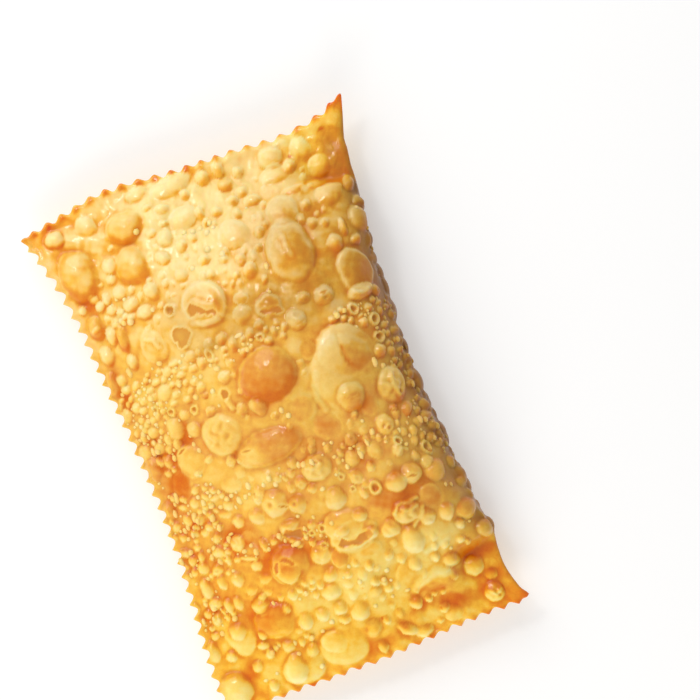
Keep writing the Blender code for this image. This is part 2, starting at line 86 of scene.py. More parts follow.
# Blisters as (x, y, half width), then the half length unless it is round, and the turn in degrees where one
# lies askew.
PALE_BLISTERS: Rows = (
    (-44.3, 75.3, 3.2, 2.9), (-31.5, 61.5, 2.5), (-32.5, 57.5, 1.8), (-31.7, 52.7, 2.1, 2.4),
    (-28, 52, 1.2, 1.5), (-36.3, 52.3, 1.4, 2.2), (-39, 51, 1.8), (-44.3, 51.7, 1.2, 1.7),
    (-36, 48.5, 1.5, 1.8), (-29.7, 47.8, 2.4), (-22, 49.5, 2.3, 3), (5.5, 76, 2.2, 2.6), (10.7, 77, 2, 2.6),
    (16.3, 73.8, 1.8), (-1.5, 73.2, 1.8), (-13.7, 73.6, 1.6, 1.3), (-9.8, 71.6, 2.4, 1.4),
    (0.6, 66.3, 1.3, 2.3), (5.7, 64.7, 2.1, 1.9), (11.3, 66, 1.8), (11.5, 61.5, 1.7), (17.3, 63.7, 2.9, 2),
    (15, 67.5, 2), (-12.3, 63, 2.6), (-15.5, 66, 1.4), (-11, 67.3, 1.6, 0.9), (-15, 57.3, 2.2),
    (-8.2, 59, 1.9), (-3.4, 52, 1.9), (-11.4, 50.3, 2.1), (27.3, 73.7, 4.1, 3.6), (31.8, 69.3, 2),
    (47, 57.5, 1.8, 3), (47.5, 51, 1.5, 2.3), (32, 56, 1.5, 1.8), (31.8, 50, 1.6, 2.1), (45, 46, 2.3, 4.5),
    (40, 45.3, 1.3, 3), (8.9, 43.7, 2.2, 2.6), (4.3, 43.8, 1.3), (36, 41.7, 2.7, 2.9), (42.2, 40.5, 1.6, 1.8),
    (-42.4, 44.6, 1.3), (-38.9, 41, 1.7, 3.3), (-42.8, 36, 2.3, 3.6), (-35.9, 31.3, 1.7, 2.8),
    (-41.7, 27.1, 1.5, 1.9), (-26.5, 44, 2.6), (-7.7, 27.3, 1.9), (5, 27, 1.8, 1.4), (-4.6, 24.3, 1.6, 2.3),
    (20.5, 29.5, 2.2, 2), (-38.3, 23.8, 1.5), (-31.5, 22.7, 1.4), (-30, 18.5, 2.6), (-27, 24.3, 1.7),
    (-24, 26, 2, 1.2), (-23.3, 21.8, 1.6, 1.2), (-20.3, 18.3, 1.4), (-37, 18.7, 1.4), (-40, 17.5, 1.8, 2),
    (-38.2, 15.8, 1.4), (-27.3, 10, 1.6), (-24.7, 14.3, 1.3), (-44, 16.5, 1.8, 2.4), (-18.5, 26, 1.8),
    (-31.5, 7.5, 2.7, 4), (-34.7, 5, 1.2, 2), (-38, 8.8, 1.7, 2), (-43, 3.5, 2.4, 3.2),
    (-39.8, -0.5, 1.2, 1.5), (-37.6, -1.3, 1.5, 2.6), (-26.3, 4.8, 2.4, 2.6), (-25.3, -5.5, 1.5, 1.2),
    (-34.3, -16, 1.6, 2.1), (-38.6, -16.2, 1.2), (-28, -17, 1.6, 1.2), (-42.8, -21, 1.6),
    (-42, -25, 1.2, 1.5), (-33.3, -24.8, 1.2, 1.4), (-24.3, -26.5, 2.1, 2.3), (-43.7, -29.3, 1.3),
    (-39.3, -29.2, 1.2, 1.4), (-32.5, -28.8, 1.3, 1.8), (-9.8, 4.8, 1.9, 2.3), (-4.5, 4.5, 2.9, 3.1),
    (-14.5, -20.5, 1.4, 2.3), (-15.7, -22.3, 1.2, 1.8), (-3.2, -18.8, 1.2, 1.4), (1.2, -25.5, 1.7, 1.6),
    (-17.9, -27, 2.3, 2.7), (16, -21.4, 2.2, 2.5), (36, 6, 1.9, 2.5), (39.3, 4.4, 1.3, 1.6),
    (42.5, -14.5, 1.4, 2.2), (33.3, -14, 1.3, 2), (33.3, -19.8, 1.2, 1.5), (36.3, -20.5, 1.3, 1.7),
    (35.8, -23.3, 1.3, 1.8), (34.5, -28, 1.2, 1.8), (-43.2, -29.5, 1.6, 1.9), (-39.3, -32.5, 1.2, 1.9),
    (-42.6, -36.3, 1.2, 1.6), (-31.7, -36.3, 1.2, 2.1), (-19.3, -36.3, 1.3, 2.2), (-23.8, -41.2, 1.9, 2),
    (-41.3, -42.2, 2, 3.6), (-35.7, -42, 1.5, 2.8), (-31, -43, 2, 2.7), (-46.9, -46.8, 1.3, 2.2),
    (-44, -50, 1.2, 1.6), (-36.7, -49.6, 1.5, 2.4), (-33.6, -49.8, 1.5, 2.4), (-44.3, -56.8, 1.6),
    (-37, -58.2, 2.7, 2.8), (-27.4, -53.5, 2.7, 2.9), (-26, -50.8, 1.3, 1.2), (-20.7, -53, 1.2, 1.3),
    (-20.3, -56.8, 1.4, 1.6), (-30.3, -61.8, 1.4, 1.8), (-47, -61.5, 2.2, 3.4), (-31.8, -65.2, 2, 1.8),
    (-10, -33.5, 3, 2.2), (-3.5, -35.4, 1.2, 1.5), (-3.9, -52.3, 2.3, 2.2), (-7.8, -53.8, 1.2, 1.6),
    (-10.3, -53.5, 1.4, 1), (-5.4, -57, 2.9, 3), (-16.4, -62.8, 2.4, 3), (-11, -63, 2, 2.3),
    (-5, -63.2, 2.4, 2.2), (0.3, -66.5, 3, 2.9), (-5, -67, 1.8, 1.5), (8.3, -59, 1.4, 1.8),
    (8.2, -53.6, 1.4, 1.9), (18.3, -56, 1.6, 1.7), (11.2, -62.8, 1.7, 1.5), (6.6, -31, 3.5),
    (15.2, -32.6, 1.4, 1.9), (25.5, -33, 3.3, 3.2), (31, -32.5, 3.4, 3.3), (11.6, -38.3, 2.2),
    (4.6, -40.8, 2.4, 1.7), (12.9, -44.6, 2.3, 2.2), (36.6, -47.2, 2.5, 3.3), (23.8, -51.8, 3.7, 4.6),
    (39.3, -52.8, 1.6, 1.8), (45.7, -57, 2.3, 2.6), (32.3, -57, 1.4, 1.2), (37.5, -57.3, 1.7, 1.3),
    (21.5, -59, 1.9, 2), (28, -59.5, 1.6), (32.4, -62.3, 2.6, 2.1), (44.2, -41, 1.2, 1.9),
    (43.7, -34, 1.1, 2), (-44.6, -75.2, 5.2, 6), (-35.8, -70.8, 1.7, 1.9), (-33, -78, 1.7, 2),
    (-25, -75.7, 4.4, 4.6), (-17.8, -71.8, 1.8, 2.3), (-24.3, -68.3, 1.9, 2.2), (-20.3, -68.5, 1.2, 1.6),
    (7, -72, 1.2, 1.4), (17.2, -70.5, 2.2, 2), (21.5, -71, 1.3), (2.8, -79.5, 1.7, 2),
    (24.8, -75.3, 1.9, 1.6), (22.3, -78.7, 1.3, 1.2), (37.9, -66.8, 3.3), (-30, -8, 1.2),
    (22.3, 44.3, 7.5, 9.8), (22.5, -3.5, 4.3, 4.5), (11.8, -77.2, 1.8, 3.8, 50), (16.5, -80, 3, 1.8),
)
AMBER_BLISTERS: Rows = (
    (-41.7, 62.5, 6.3, 8.2), (-22.6, 70.8, 6.3, 5), (-24.8, 58.8, 5.3, 6), (-42.8, 45.3, 2.6, 4),
    (-36, 39, 1.8, 4.5), (-44.5, 27, 2, 4.5), (-18.7, 13.3, 1.1), (1.5, 12, 9.5, 8.5), (11, 71.5, 2.4),
    (37, -13.8, 1.6, 2.4), (38.5, -34.5, 3.2, 3.5), (-25.3, -59.2, 6.2, 6), (0.8, -48.5, 3),
    (42.5, -49, 3, 3.5), (2.3, -72.8, 2.6, 2.8), (11.5, -71.8, 1.5), (-14.5, -44.5, 6, 6.3),
    (-43, -15.5, 2.3, 3), (-42.5, -2, 2.6, 4.5), (6.9, -62.3, 1.9), (-6.4, -8.5, 10.4, 5.8), (33.3, -12, 1.2),
)
SOFT_BLISTERS: Rows = (
    (-33.8, 75.7, 3, 3.5), (-15.5, 79, 3.5, 2.6), (-5, 77.3, 7.3, 3.4, 7), (-4.5, 67, 4.8, 3.4),
    (8, 56, 5, 4.5), (37, 73, 3.6, 3.9), (40.5, 66, 3.6), (26.5, 68.5, 5, 3), (30, 61.5, 4, 1.5),
    (40, 57, 5, 3.5), (24.5, 56.5, 4.8, 5.2), (-28, 33.5, 3.8, 5.8), (1.5, 32, 3), (-30.8, -4, 4.2, 5.5),
    (24.3, 3, 10.5, 13), (26.3, 10.3, 8.6, 8), (-21.8, -15.2, 3.2, 3), (-27.3, -22.5, 2, 1.5),
    (23.6, -21.7, 2.7), (22.5, -15, 1.5), (-23, -46, 2), (-28.3, -47.3, 1.8), (-37, -59, 5, 7),
    (0.6, -60.3, 1.8), (-24, -50, 1.5, 1.3), (6, -39, 6.5, 5), (-14.6, -46.8, 3.6, 3.2), (-22, -76, 6.5, 5.5),
    (-8.2, -74.8, 7.6, 6.4), (-10.6, -72.2, 4.2, 3.4), (42, -71, 2), (27, -78, 3, 2.5),
)
CRINKLED_BLISTERS: Rows = (
    (16, 24.3, 3.3, 3), (37.5, 25, 4, 2.5), (-11, 16.2, 1.9, 2.1), (4.8, -20, 4.7, 4.3),
    (-18.4, 0.2, 6.2, 6.8), (35.5, -5.2, 4.7, 6), (-35.2, -25.8, 1.4, 1.5), (36.7, -31, 1.9, 2),
    (-28.3, -37, 1.3), (-27, -32.8, 2.2, 2.6), (25.3, -43, 4.6, 3.4), (18.8, -45.6, 3, 3.1),
    (29.5, -24.5, 1.5, 2.2), (41.2, -76.7, 3.2, 3.6), (-4.2, -45, 3.2, 3.6), (30.5, -46.5, 2.5, 3),
)
DIMPLED_BLISTERS: Rows = (
    (-1.6, -22.3, 1.8, 2), (-4.8, -22.5, 1.3, 2), (-4.9, -28.3, 2.9), (17.7, -15.8, 2, 2.2),
    (-11.3, -25.3, 3.9, 4.6), (14.9, -27.3, 2.1, 2.2), (28.9, -15.8, 2.7, 3.4), (26.5, 28, 3.2, 3),
    (-16, -36, 1.2, 1.5), (-5, -41, 1.2, 1.4), (-42.3, -65, 2, 1.7),
)
OPEN_RINGS: Rows = (
    (-18.9, 41.6, 1.9), (-12.6, 24.3, 1.5, 2.2), (4, 23.2, 1.4), (33.3, 20.7, 1.7, 2), (38, 15.5, 1.6, 1.9),
    (37.3, 10, 1.6, 1.9), (-30, 12.5, 1.2, 1.7), (-23.7, 10.4, 1.5, 1.7), (10.8, -25.3, 1.2, 1.4),
    (19.2, -32.2, 2, 2.3), (12.6, -30.1, 1.1), (-0.9, -37.7, 1.3, 1.6), (-4.1, -38, 1.1, 1.3),
    (30.5, -21.8, 1.2, 1.4), (-34.4, 15, 1, 1.2), (38.3, -27, 1.4, 2.6), (-2.1, -43, 1.2),
)

# Amber discs that show through the skin and hardly stand up.
FLAT_BLISTERS: Rows = (
    (15.5, 14.5, 2.7, 3.1), (7.5, -1.5, 4.4, 4.2), (12.5, -9, 4.2, 4.7), (27, -8.5, 3), (34, -41, 3.2, 3.5),
    (-23.5, -32.5, 2.5, 2.3), (18, -61.2, 3.7), (15.5, -75.5, 2.6, 3.4), (1, -48.3, 3.2, 2.5),
    (10.5, -49, 4, 2), (-36, -9.5, 2.6, 4.6),
)

# Blisters whose skin tore and sank in the middle, with a pale rim that still stands.
BURST_BLISTERS: Rows = (
    (-8.2, 39.6, 6.9, 7.3), (9.9, 31.2, 4.2, 4), (-18.7, 32.6, 3, 3.5), (7.6, -43.6, 7.4, 5.2),
    (38.5, 31.5, 5.4, 7.2), (2.8, 36.5, 2.5, 2.2),
)

# Beads of dough seen one by one, in the same way.
SEEN_BEADS: Rows = (
    (-33, 47.2, 0.9), (-33.5, 43.5, 1.1), (-31.3, 42.8, 1.2), (-35.8, 45.3, 0.9), (-24, 43.8, 0.9),
    (-28.3, 28, 1.1), (-38.3, 28.5, 1, 1.8), (-3.3, 61.3, 1.2), (-0.8, 61.6, 1.1), (2.4, 62, 1.1),
    (0.5, 59.3, 1.1), (2.9, 60, 0.8), (-6.2, 62.3, 0.9), (-7.5, 50.8, 1), (-0.8, 54.5, 1.2), (2.9, 51.6, 1.1),
    (-19.8, 68, 1.2), (13.6, 43, 0.8, 1.3), (-2.2, 26.4, 1.6, 0.7), (-9.6, 25.8, 0.8), (-1.8, 23.3, 0.8),
    (-1, 21.5, 0.9), (1.1, 23.8, 0.7), (28, 21, 1.1), (30.3, 21.3, 0.9), (39.4, 11, 0.8, 1.1),
    (37.2, 18.6, 0.6), (38.6, 18.7, 0.6), (41.3, 14.6, 0.6, 1.1), (-43, 23.1, 0.8), (-37.3, 21.8, 1),
    (-35.9, 22.3, 0.7), (-24.7, 19.5, 0.9), (-34, 18.8, 1.1), (-42, 13.3, 0.9), (-37.8, 12.5, 1),
    (-36.2, 11, 0.8), (-21.5, 14, 1.1), (-17.8, 19.3, 0.8), (-12.3, 19.6, 1.2, 0.9), (-16, 13.5, 1),
    (-41.5, 9, 1, 1.4), (-40.2, 8, 0.6, 1), (-42, 6.7, 0.8), (-39.2, 5.8, 0.8, 1), (-37.3, 5.4, 0.8, 1),
    (-40.6, 3.2, 0.9, 1.8), (-39, 2.8, 1, 1.2), (-28.3, 3.3, 0.6), (-35.3, -1.3, 0.9, 1.2),
    (-27.9, 0.8, 0.7, 1), (-27, -1.7, 0.7, 1), (-42, -8.2, 0.5), (-39.4, -13, 0.9, 2), (-40.6, -14.3, 0.6, 1),
    (-41.4, -17.2, 0.8, 1.5), (-37, -14.7, 0.5, 0.7), (-32.7, -15, 0.8), (-31.8, -17.3, 0.9, 1.4),
    (-29.3, -14.9, 0.9, 0.7), (-26, -15.8, 0.8, 1.1), (-30, -19, 1.2, 0.9), (-24.5, -19, 1),
    (-23, -18.5, 1, 0.8), (-36.3, -20.3, 1.1, 1.9), (-32.8, -20, 0.8, 1.2), (-35.2, -22, 0.8, 1.1),
    (-27.3, -20.3, 1, 0.8), (-21.3, -20.8, 1, 1.5), (-19, -20.5, 0.9, 1), (-23.2, -22, 0.5, 0.9),
    (-39.3, -22.8, 0.7, 1.2), (-40.8, -23.3, 0.8, 1.2), (-31.3, -22.5, 1.1, 1.6), (-37.6, -23.5, 0.6, 0.9),
    (-38.7, -25.3, 0.7, 1.1), (-30.5, -26.3, 0.9, 1.3), (-42, -30, 1), (-16, 8.9, 0.6), (1.5, 0.2, 0.9, 1.2),
    (3, -2, 1), (-0.4, -17, 0.9, 1.2), (4.3, -26.8, 1, 0.8), (-8.9, -20, 0.9, 1.1), (-12, -19, 0.7, 0.9),
    (-9.8, -17.8, 0.9, 1.2), (-16.8, -17.4, 1, 1.5), (-17.6, -20, 0.6), (1.5, -17.5, 1.2),
    (4.4, -18.3, 0.8, 1.6), (9.3, -24.5, 0.6), (13.4, -23.5, 0.8, 1.1), (16.4, -18.5, 0.8), (18.6, -21, 1, 2),
    (18.8, -19.6, 0.6), (32.9, 3.3, 1.1, 1.8), (35.3, 1.1, 1, 1.2), (38.3, 1.3, 0.6, 0.9), (41.6, 7, 0.9, 1),
    (40.8, 0.8, 0.5), (43.5, 4, 0.6, 1), (42.1, 4.3, 0.5), (43.3, -0.8, 0.6, 1), (41.3, -3.5, 0.7, 1.2),
    (41.3, -7.3, 0.8, 1.2), (42.5, -10, 1, 1.3), (41.2, -11.5, 0.5), (39.7, -12.5, 0.6), (39.5, -0.7, 0.5),
    (23, -12, 0.7), (24.6, -16.5, 1, 1.3), (21.7, -18.8, 0.7, 1.6), (38.8, -18.2, 1, 1.4),
    (40.7, -18.9, 0.9, 1.2), (42.8, -19.3, 0.8, 1.1), (42.8, -22.2, 1, 1.3), (35.4, -18, 0.5, 0.8),
    (39.5, -22.7, 0.7, 0.9), (32.7, -23.7, 0.9, 0.8), (27.2, -20.5, 0.6), (41.3, -25.3, 0.8, 1),
    (42.8, -26.5, 0.6, 0.8), (43.9, -24, 0.6, 1.2), (44, -28.5, 0.7, 0.9), (-45.7, -31.8, 0.8, 1.5),
    (-36, -31.8, 0.8), (-34.2, -31.4, 0.9, 1), (-35.6, -33.8, 0.8, 1.2), (-34.3, -36, 1, 1.5),
    (-44.2, -36.5, 0.5, 0.9), (-29.2, -31, 1, 1.6), (-28.3, -29.2, 1, 0.6), (-25.3, -35.8, 1, 0.8),
    (-22.4, -37.1, 1, 1.3), (-43.4, -46.6, 0.8, 1.2), (-41.2, -48.7, 1.1, 1.5), (-46, -51.3, 0.6, 1.1),
    (-42.5, -52, 0.6, 0.9), (-41, -52.6, 0.7, 1), (-39.2, -52.7, 0.5), (-36.5, -54.2, 1.1), (-42.1, -57.2, 1),
    (-46.5, -54.3, 0.6), (-44.5, -54.2, 0.6), (-23.2, -54, 0.6, 1.2), (-28, -67.3, 0.7),
    (-13.6, -35.5, 0.9, 1.1), (-12.7, -37.3, 0.6, 0.9), (-10.8, -39.8, 0.8, 1), (-9.5, -39.2, 1.5, 0.9),
    (-6.5, -38.7, 0.8, 1.1), (-5.8, -36.5, 0.8, 1.3), (-2.2, -39.8, 0.7), (-1.8, -33.8, 0.6, 0.8),
    (-12.7, -54.1, 0.6), (-15.3, -55.7, 0.7), (-9.3, -66.3, 1), (4, -57.3, 0.8, 1), (10.7, -59.6, 0.9),
    (12.5, -57.7, 0.9), (12.9, -61, 0.6), (5.3, -66.5, 0.8), (11.4, -65.5, 0.7), (16.4, -65.6, 1.1, 0.7),
    (2.8, -37.5, 0.8), (39.3, -40, 0.6, 0.9), (41, -40.6, 0.7, 0.9), (42.5, -53, 0.7), (33.5, -58.6, 0.7),
    (-35, -75.5, 0.9, 0.6), (-31, -74.5, 0.6), (-22, -71.5, 0.8), (-16.3, -68.3, 0.8), (-12.7, -68, 0.8),
    (-30, -68, 1), (-17, -77.5, 1),
)

# Openings where the skin burst, as (depth, toast of the floor, x, y, x, y, and so on) round each opening.
OPENINGS: Rows = (
    (0.6, 0.12, -13.5, 39.5, -11.9, 40.4, -10.5, 39.5, -9.2, 38.4, -8.2, 37, -5.8, 36.5, -5.4, 35.2, -6.2,
     34.4, -6.8, 35.7, -8.1, 35.8, -9, 37, -10.4, 36.8, -11.2, 37.9, -12.3, 37.5, -13.6, 37.4, -13.7, 38.5),
    (0.5, -0.05, -20.1, 41.2, -20, 42.6, -19, 43.1, -17.8, 42.7, -17.5, 41.4, -18.2, 40.2, -19.4, 40.2),
    (0.9, 0, -21.1, 33.6, -20.4, 35, -19, 35.7, -17.4, 35.3, -16.2, 34.2, -15.8, 32.7, -16.5, 31.2, -17.8,
     29.9, -19.6, 29.5, -20.3, 30.4, -20, 32, -20.9, 32.2),
    (0.6, 0.5, 6.6, 30.7, 7.7, 30.8, 9.2, 29.9, 11.1, 30.1, 12.7, 29.7, 13.3, 28.6, 12, 28.1, 10.6, 28.9, 8.8,
     29, 7.2, 29.5),
    (0.7, 0.2, -12.4, -35.4, -10.6, -34.3, -9.2, -35.6, -7.2, -35.6, -7, -37.6, -8.9, -38.9, -10.4, -37.2,
     -11.8, -36.5),
    (0.6, 0.18, 2.1, -44.8, 3.7, -43, 5.1, -44.4, 7.3, -44.4, 9.4, -43.4, 12.4, -43.5, 13.6, -44.6, 11.3,
     -46.1, 8.1, -46.5, 5.6, -45.3, 3.7, -45.7),
    (0.5, 0.5, -18.4, -45.6, -18.2, -43.6, -17.2, -42.2, -16.6, -42.6, -17.2, -43.6, -17.6, -45.2),
    (0.5, 0.5, -15.6, -42, -13.9, -41.9, -12.7, -43, -11.9, -44.6, -12.6, -44.6, -13.4, -43.4, -14.4, -42.7),
    (0.7, 0.15, -13.9, 12, -13.2, 12.9, -12.2, 12.6, -11.9, 11.2, -12.5, 10.2, -13.5, 10.4),
    (0.6, 0.2, -33.4, -0.4, -32, 0.4, -30.8, 0.2, -32, -0.5),
    (0.6, 0.2, -9.9, -26.4, -8.6, -26.6, -7.8, -27.8, -9, -27.3),
    (0.7, 0.2, 29, -33.2, 30.4, -32.8, 32, -33.5, 30.4, -33.7),
    (0.6, 0.2, 37.9, -28.6, 38.8, -28.1, 39.4, -28.8, 38.6, -28.9),
    (0.6, 0.2, 35.8, -7.8, 36.4, -7.5, 36.8, -8.2, 36.2, -8.6),
    (0.7, 0.2, 28.9, -16.8, 29.5, -16.4, 29.9, -17.2, 29.2, -17.7),
    (0.7, 0.2, 25.2, 29.2, 26.3, 29.8, 27.6, 29.3, 26.4, 28.6),
    (0.5, 0.2, -32.7, -35.4, -32.1, -35.1, -31.7, -35.8, -32.4, -36.1),
    (0.3, 0.12, -14.2, -7.2, -12.7, -6.6, -11.2, -7.3, -12.7, -7.2),
    (0.6, 0.2, 30, -21.8, 30.6, -21.2, 31.1, -22, 30.5, -22.6),
)

# Folds of skin that stand up, as (height, half width, toast, x, y, x, y, and so on).
FOLDS: Rows = (
    (0.7, 0.5, -0.14, -26.5, -37.3, -23.2, -39.3),
    (1.1, 0.5, -0.14, 21.5, -42, 23, -40, 24.5, -39.3, 27, -40, 29.5, -40),
    (0.9, 0.6, -0.14, 30, -43, 28.5, -45.5, 26, -47.5),
    (-0.3, 0.3, 0.16, 25.4, 16, 25.1, 13.5, 25.3, 11, 24.9, 8.8, 26, 5.4),
    (0.2, 0.8, -0.1, 15.6, 7, 13.6, 3, 13.2, -1, 14, -4.5),
    (0.5, 1.1, -0.12, 18.5, -66.5, 22, -64.5, 26.5, -63.5, 30, -65),
    (0.3, 0.8, -0.12, 26, -56.6, 30, -56, 33.5, -55.6), (0.4, 0.9, 0.14, -10.6, 40.9, -8.4, 39.2, -5.5, 37.4),
    (-0.15, 0.35, 0.1, 21.2, -3.6, 22.6, -4, 23.8, -3.7), (0.6, 0.5, -0.14, 35.8, -1.5, 35.3, -5, 35.8, -9),
    (0.8, 0.6, -0.14, -12.8, 9.4, -12, 6.4),
    (0.6, 0.7, -0.2, 2, -46, 5, -46.6, 8, -46.8, 11, -45.8, 13.6, -44),
    (0.4, 0.7, -0.14, -13.6, 35.2, -10, 33.6, -6, 33.4), (0.5, 0.5, -0.14, -29.5, 36.5, -27, 35, -26, 32.5),
    (0.5, 0.5, -0.14, 2, -19, 4.5, -20, 6.5, -19), (0.5, 0.5, -0.14, 14.5, 25, 16, 24, 18, 24.6),
    (0.5, 0.5, -0.14, 35, 25.5, 37.5, 24.6, 40, 25.4), (0.5, 0.5, -0.14, 39.5, -76, 41.5, -77.6, 43.5, -76.4),
    (0.2, 0.7, -0.14, 33.5, 60.5, 36.5, 61.6, 40, 61.2), (0.2, 0.6, -0.08, 21, 50, 21.3, 46.5, 22, 42),
    (0.5, 0.45, -0.14, 29, -25.5, 30.3, -24, 32.5, -25.5),
    (0.5, 0.45, -0.14, 24, -41.5, 26.5, -42.5, 28.5, -42),
)

# Where the crust is paler or more toasted than its usual tone, as (x, y, half width, half length, toast) and
# then, where oil shows through it, how much.
# The rows at (43.5, 61.5) and (44.5, 60.6) paint the dark line under the upper ear's step: painted shadow.
BROAD_TONES: Rows = (
    (-28, 62, 24, 18, -0.08), (2, 62, 26, 18, -0.13), (26, 66, 16, 14, -0.05, 0.1),
    (24, 47, 16, 16, 0.06, 0.8), (15, 31, 26, 10, 0.06, 0.95), (-14, 36, 9, 12, 0, 0.5),
    (-30, 36, 14, 14, -0.03), (-32, 18, 14, 8, -0.02), (1.5, 11, 12, 11, 0.02), (26, 3, 14, 16, 0.04, 0.5),
    (-18, 0.6, 6, 6.4, 0.1), (-38, -6, 8, 9, 0.14), (0, -7, 16, 10, 0.05), (-8, -20, 14, 8, -0.1, 0.15),
    (22, -14, 16, 8, 0.05, 0.2), (-30, -21, 14, 8, -0.02), (30, -26, 12, 7, 0.03, 0.3),
    (-2, -31, 16, 6, 0, 0.3), (19, -37, 10, 6, 0.12), (-16, -41, 10, 7, 0.16), (2, -47, 14, 6, -0.08, 0.1),
    (32, -43, 12, 6, 0, 0.35), (30, -54, 14, 6, -0.2), (8, -57, 16, 7, -0.16), (-26, -60, 10, 6, 0.12),
    (-10, -60, 10, 7, -0.1), (0, -76, 12, 6, 0.08), (-45, -75, 7, 8, -0.1), (-26, -76, 10, 6, -0.04),
    (30, -74, 8, 5, 0.12), (42, -72, 8, 9, 0.22), (24, -64, 8, 4, -0.16), (37, 77.5, 8, 3, -0.2),
    (42, 68, 12, 9, 0.07, 0.2), (43, 30, 5, 34, 0.08, 0.1), (0, -70, 44, 13, -0.15), (-48, 75.5, 8, 6, 0.16),
    (-34, 74, 5, 5, 0.1, 0.1), (46, 67.5, 3.2, 7.5, 0.28, 1), (49, 66, 2.2, 10, 0.2, 0.3),
    (30, 10, 6, 8, 0.14, 0.7), (21, 11, 4, 6, 0.04, 0.2), (1.5, 12.2, 8.6, 7.8, 0.1),
    (9.9, 31.6, 3.8, 3.8, 0.2, 0.3), (-3.2, 38.8, 2, 4.2, 0.2, 0.7), (-8.4, 42, 4, 3, 0.06),
    (-4.4, -8, 7, 4.6, 0.06), (-13, -9.6, 4.2, 4.2, -0.14), (12, -4, 32, 34, 0.02, 0.3),
    (18.5, -37.5, 4, 4, 0.12), (23.8, 46.8, 4, 6.2, 0.12, 0.3), (20.6, 37.6, 4.6, 3, -0.16),
    (38.5, 32, 4.5, 6.5, 0.14, 1), (43.5, 61.5, 6, 1.5, 0.1, 0.8), (-39, -9.5, 5, 5, 0.1),
    (34, -53.5, 5, 2.2, -0.16), (24, -51.5, 4, 4, -0.06), (45.2, 76.3, 0.9, 0.5, 0.6),
    (33, 71.9, 0.45, 0.45, 0.5), (5.7, -71, 0.4, 0.4, 0.5), (3.8, -59.4, 0.4, 0.4, 0.4),
    (23.7, -75, 0.45, 0.45, 0.4), (40, -61, 5.5, 2.2, 0.2, 0.3), (31.5, -67, 3.5, 4.5, 0.2),
    (25, -68.2, 4, 2, 0.16), (9, -77.5, 5, 2.6, 0.2), (29, -75.5, 4.5, 2.8, 0.2), (-42.4, 21, 1.6, 2.6, 0.3),
    (-42.5, 31, 2, 2.6, 0.2), (-34.5, 26, 3.4, 3.4, 0.1), (-38, -72, 3, 4, 0.16), (-25, -58.5, 4, 3.6, 0.12),
    (15, -71, 6, 2.4, 0.1), (18.5, -60.5, 3.6, 3.6, 0.05), (-45, -10, 3, 40, 0.02, 0.15),
    (-27, 71, 8, 6, 0.06), (24, 67, 7, 6, 0.05), (23.3, 31.4, 5, 4.5, 0.13, 0.3), (-28.5, 36, 9, 9, 0.06),
    (-20, 15.5, 7, 6, 0.06), (24, -67.5, 7, 3.5, 0.18), (1.3, 12, 7, 6, -0.1), (-32, -26, 7, 7, 0.03),
    (-11.3, 27, 4.4, 2.6, 0.02, 1), (26.2, 32, 4, 3, 0.05, 0.6), (31.5, 36.5, 5, 4.5, 0.06, 0.8),
    (44.5, 60.6, 5, 1.6, 0.12, 0.2), (28, 26, 3, 2.5, -0.1), (-4, -28, 9, 6, 0.03, 0.2),
)

# Valleys with painted shade: darker in the hollows, and the more so where they are deeper, as (x, y, half
# width, half length, toast).
SHADED_VALLEYS: Rows = (
    (-41.5, 52, 4.5, 3, 0.6), (-32.5, 66, 3.5, 4, 0.32), (-42, 70, 4, 2, 0.22), (-42.5, 20, 2.5, 3, 0.3),
    (-36, 14, 4, 2.5, 0.22), (-43.5, 8, 2.5, 7, 0.25), (-38, -8.5, 4.5, 6.5, 0.3), (-30, 2.6, 2.5, 1.6, 0.3),
    (-18, -8, 4, 2.2, 0.25), (-40, -21, 3.5, 2.5, 0.3), (-36.5, -24, 2.5, 2, 0.3), (-26, -18, 2.5, 1.6, 0.25),
    (-23.5, -29, 5, 2.5, 0.28), (-43.8, -33, 2.5, 3.5, 0.42), (-43, -38, 2, 2.5, 0.3), (-34, -47, 4, 3, 0.18),
    (-45.5, -52.5, 2.5, 3.5, 0.4), (-24, -57, 5, 2, 0.25), (-19.5, -40, 4, 3.5, 0.4), (-12, -41.5, 3, 3, 0.3),
    (19, -37, 5, 4, 0.1), (-38.5, -71.5, 2.5, 4, 0.32), (8, -77, 4, 3, 0.45), (29.5, -73.5, 5, 2.5, 0.4),
    (-0.5, -77, 2, 4, 0.4), (18, -72.5, 4, 1.6, 0.35), (25, -67.5, 4.5, 2.2, 0.55), (37, -70, 3, 3, 0.35),
    (44, -63.5, 5, 2, 0.5), (-26.5, -34, 4, 5.5, 0.4), (35.3, -58.5, 6, 2, 0.1), (36, 52, 6, 2.5, 0.22),
    (-38, 66, 2.5, 6, 0.2), (-17, 62, 3, 5, 0.18), (-24, 65, 5, 1.6, 0.25), (32, -36.5, 8, 2, 0.22),
    (40, -63, 5, 1.6, 0.5), (32, 12, 10, 3, 0.1), (41, 20, 3, 12, 0.18),
)

# Where fine beads and small blisters crowd, as (x, y, half width, half length, count) from the origin. Fields
# narrower than the width below lie on the fold's steep side, where only beads stand.
FOLD_FIELD = 2.0
BEAD_FIELDS: Rows = (
    (-34, 18, 12, 7.5, 230), (-39, 4, 7, 9, 130), (-36, -20, 11, 8, 280), (-36, -36, 10, 5, 130),
    (-41, -51, 6, 6, 90), (0, 23, 17, 3, 70), (34, 19, 8, 4, 70), (40.5, 8, 4, 16, 110), (40, -21, 5, 9, 100),
    (8, -19, 17, 3.5, 80), (-9, -37, 8, 3.5, 70), (24, -18, 9, 3, 40), (-3, -54, 16, 3, 25),
    (-34, 47, 9, 5, 40), (0, 60, 12, 4, 14), (-24, -68, 10, 2.5, 14), (-20, 24, 8, 3, 40), (0, 0, 44, 70, 20),
    (45, 12, 1.6, 26, 150), (44.8, -22, 1.6, 16, 90), (47.5, 44, 1.6, 8, 20),
)

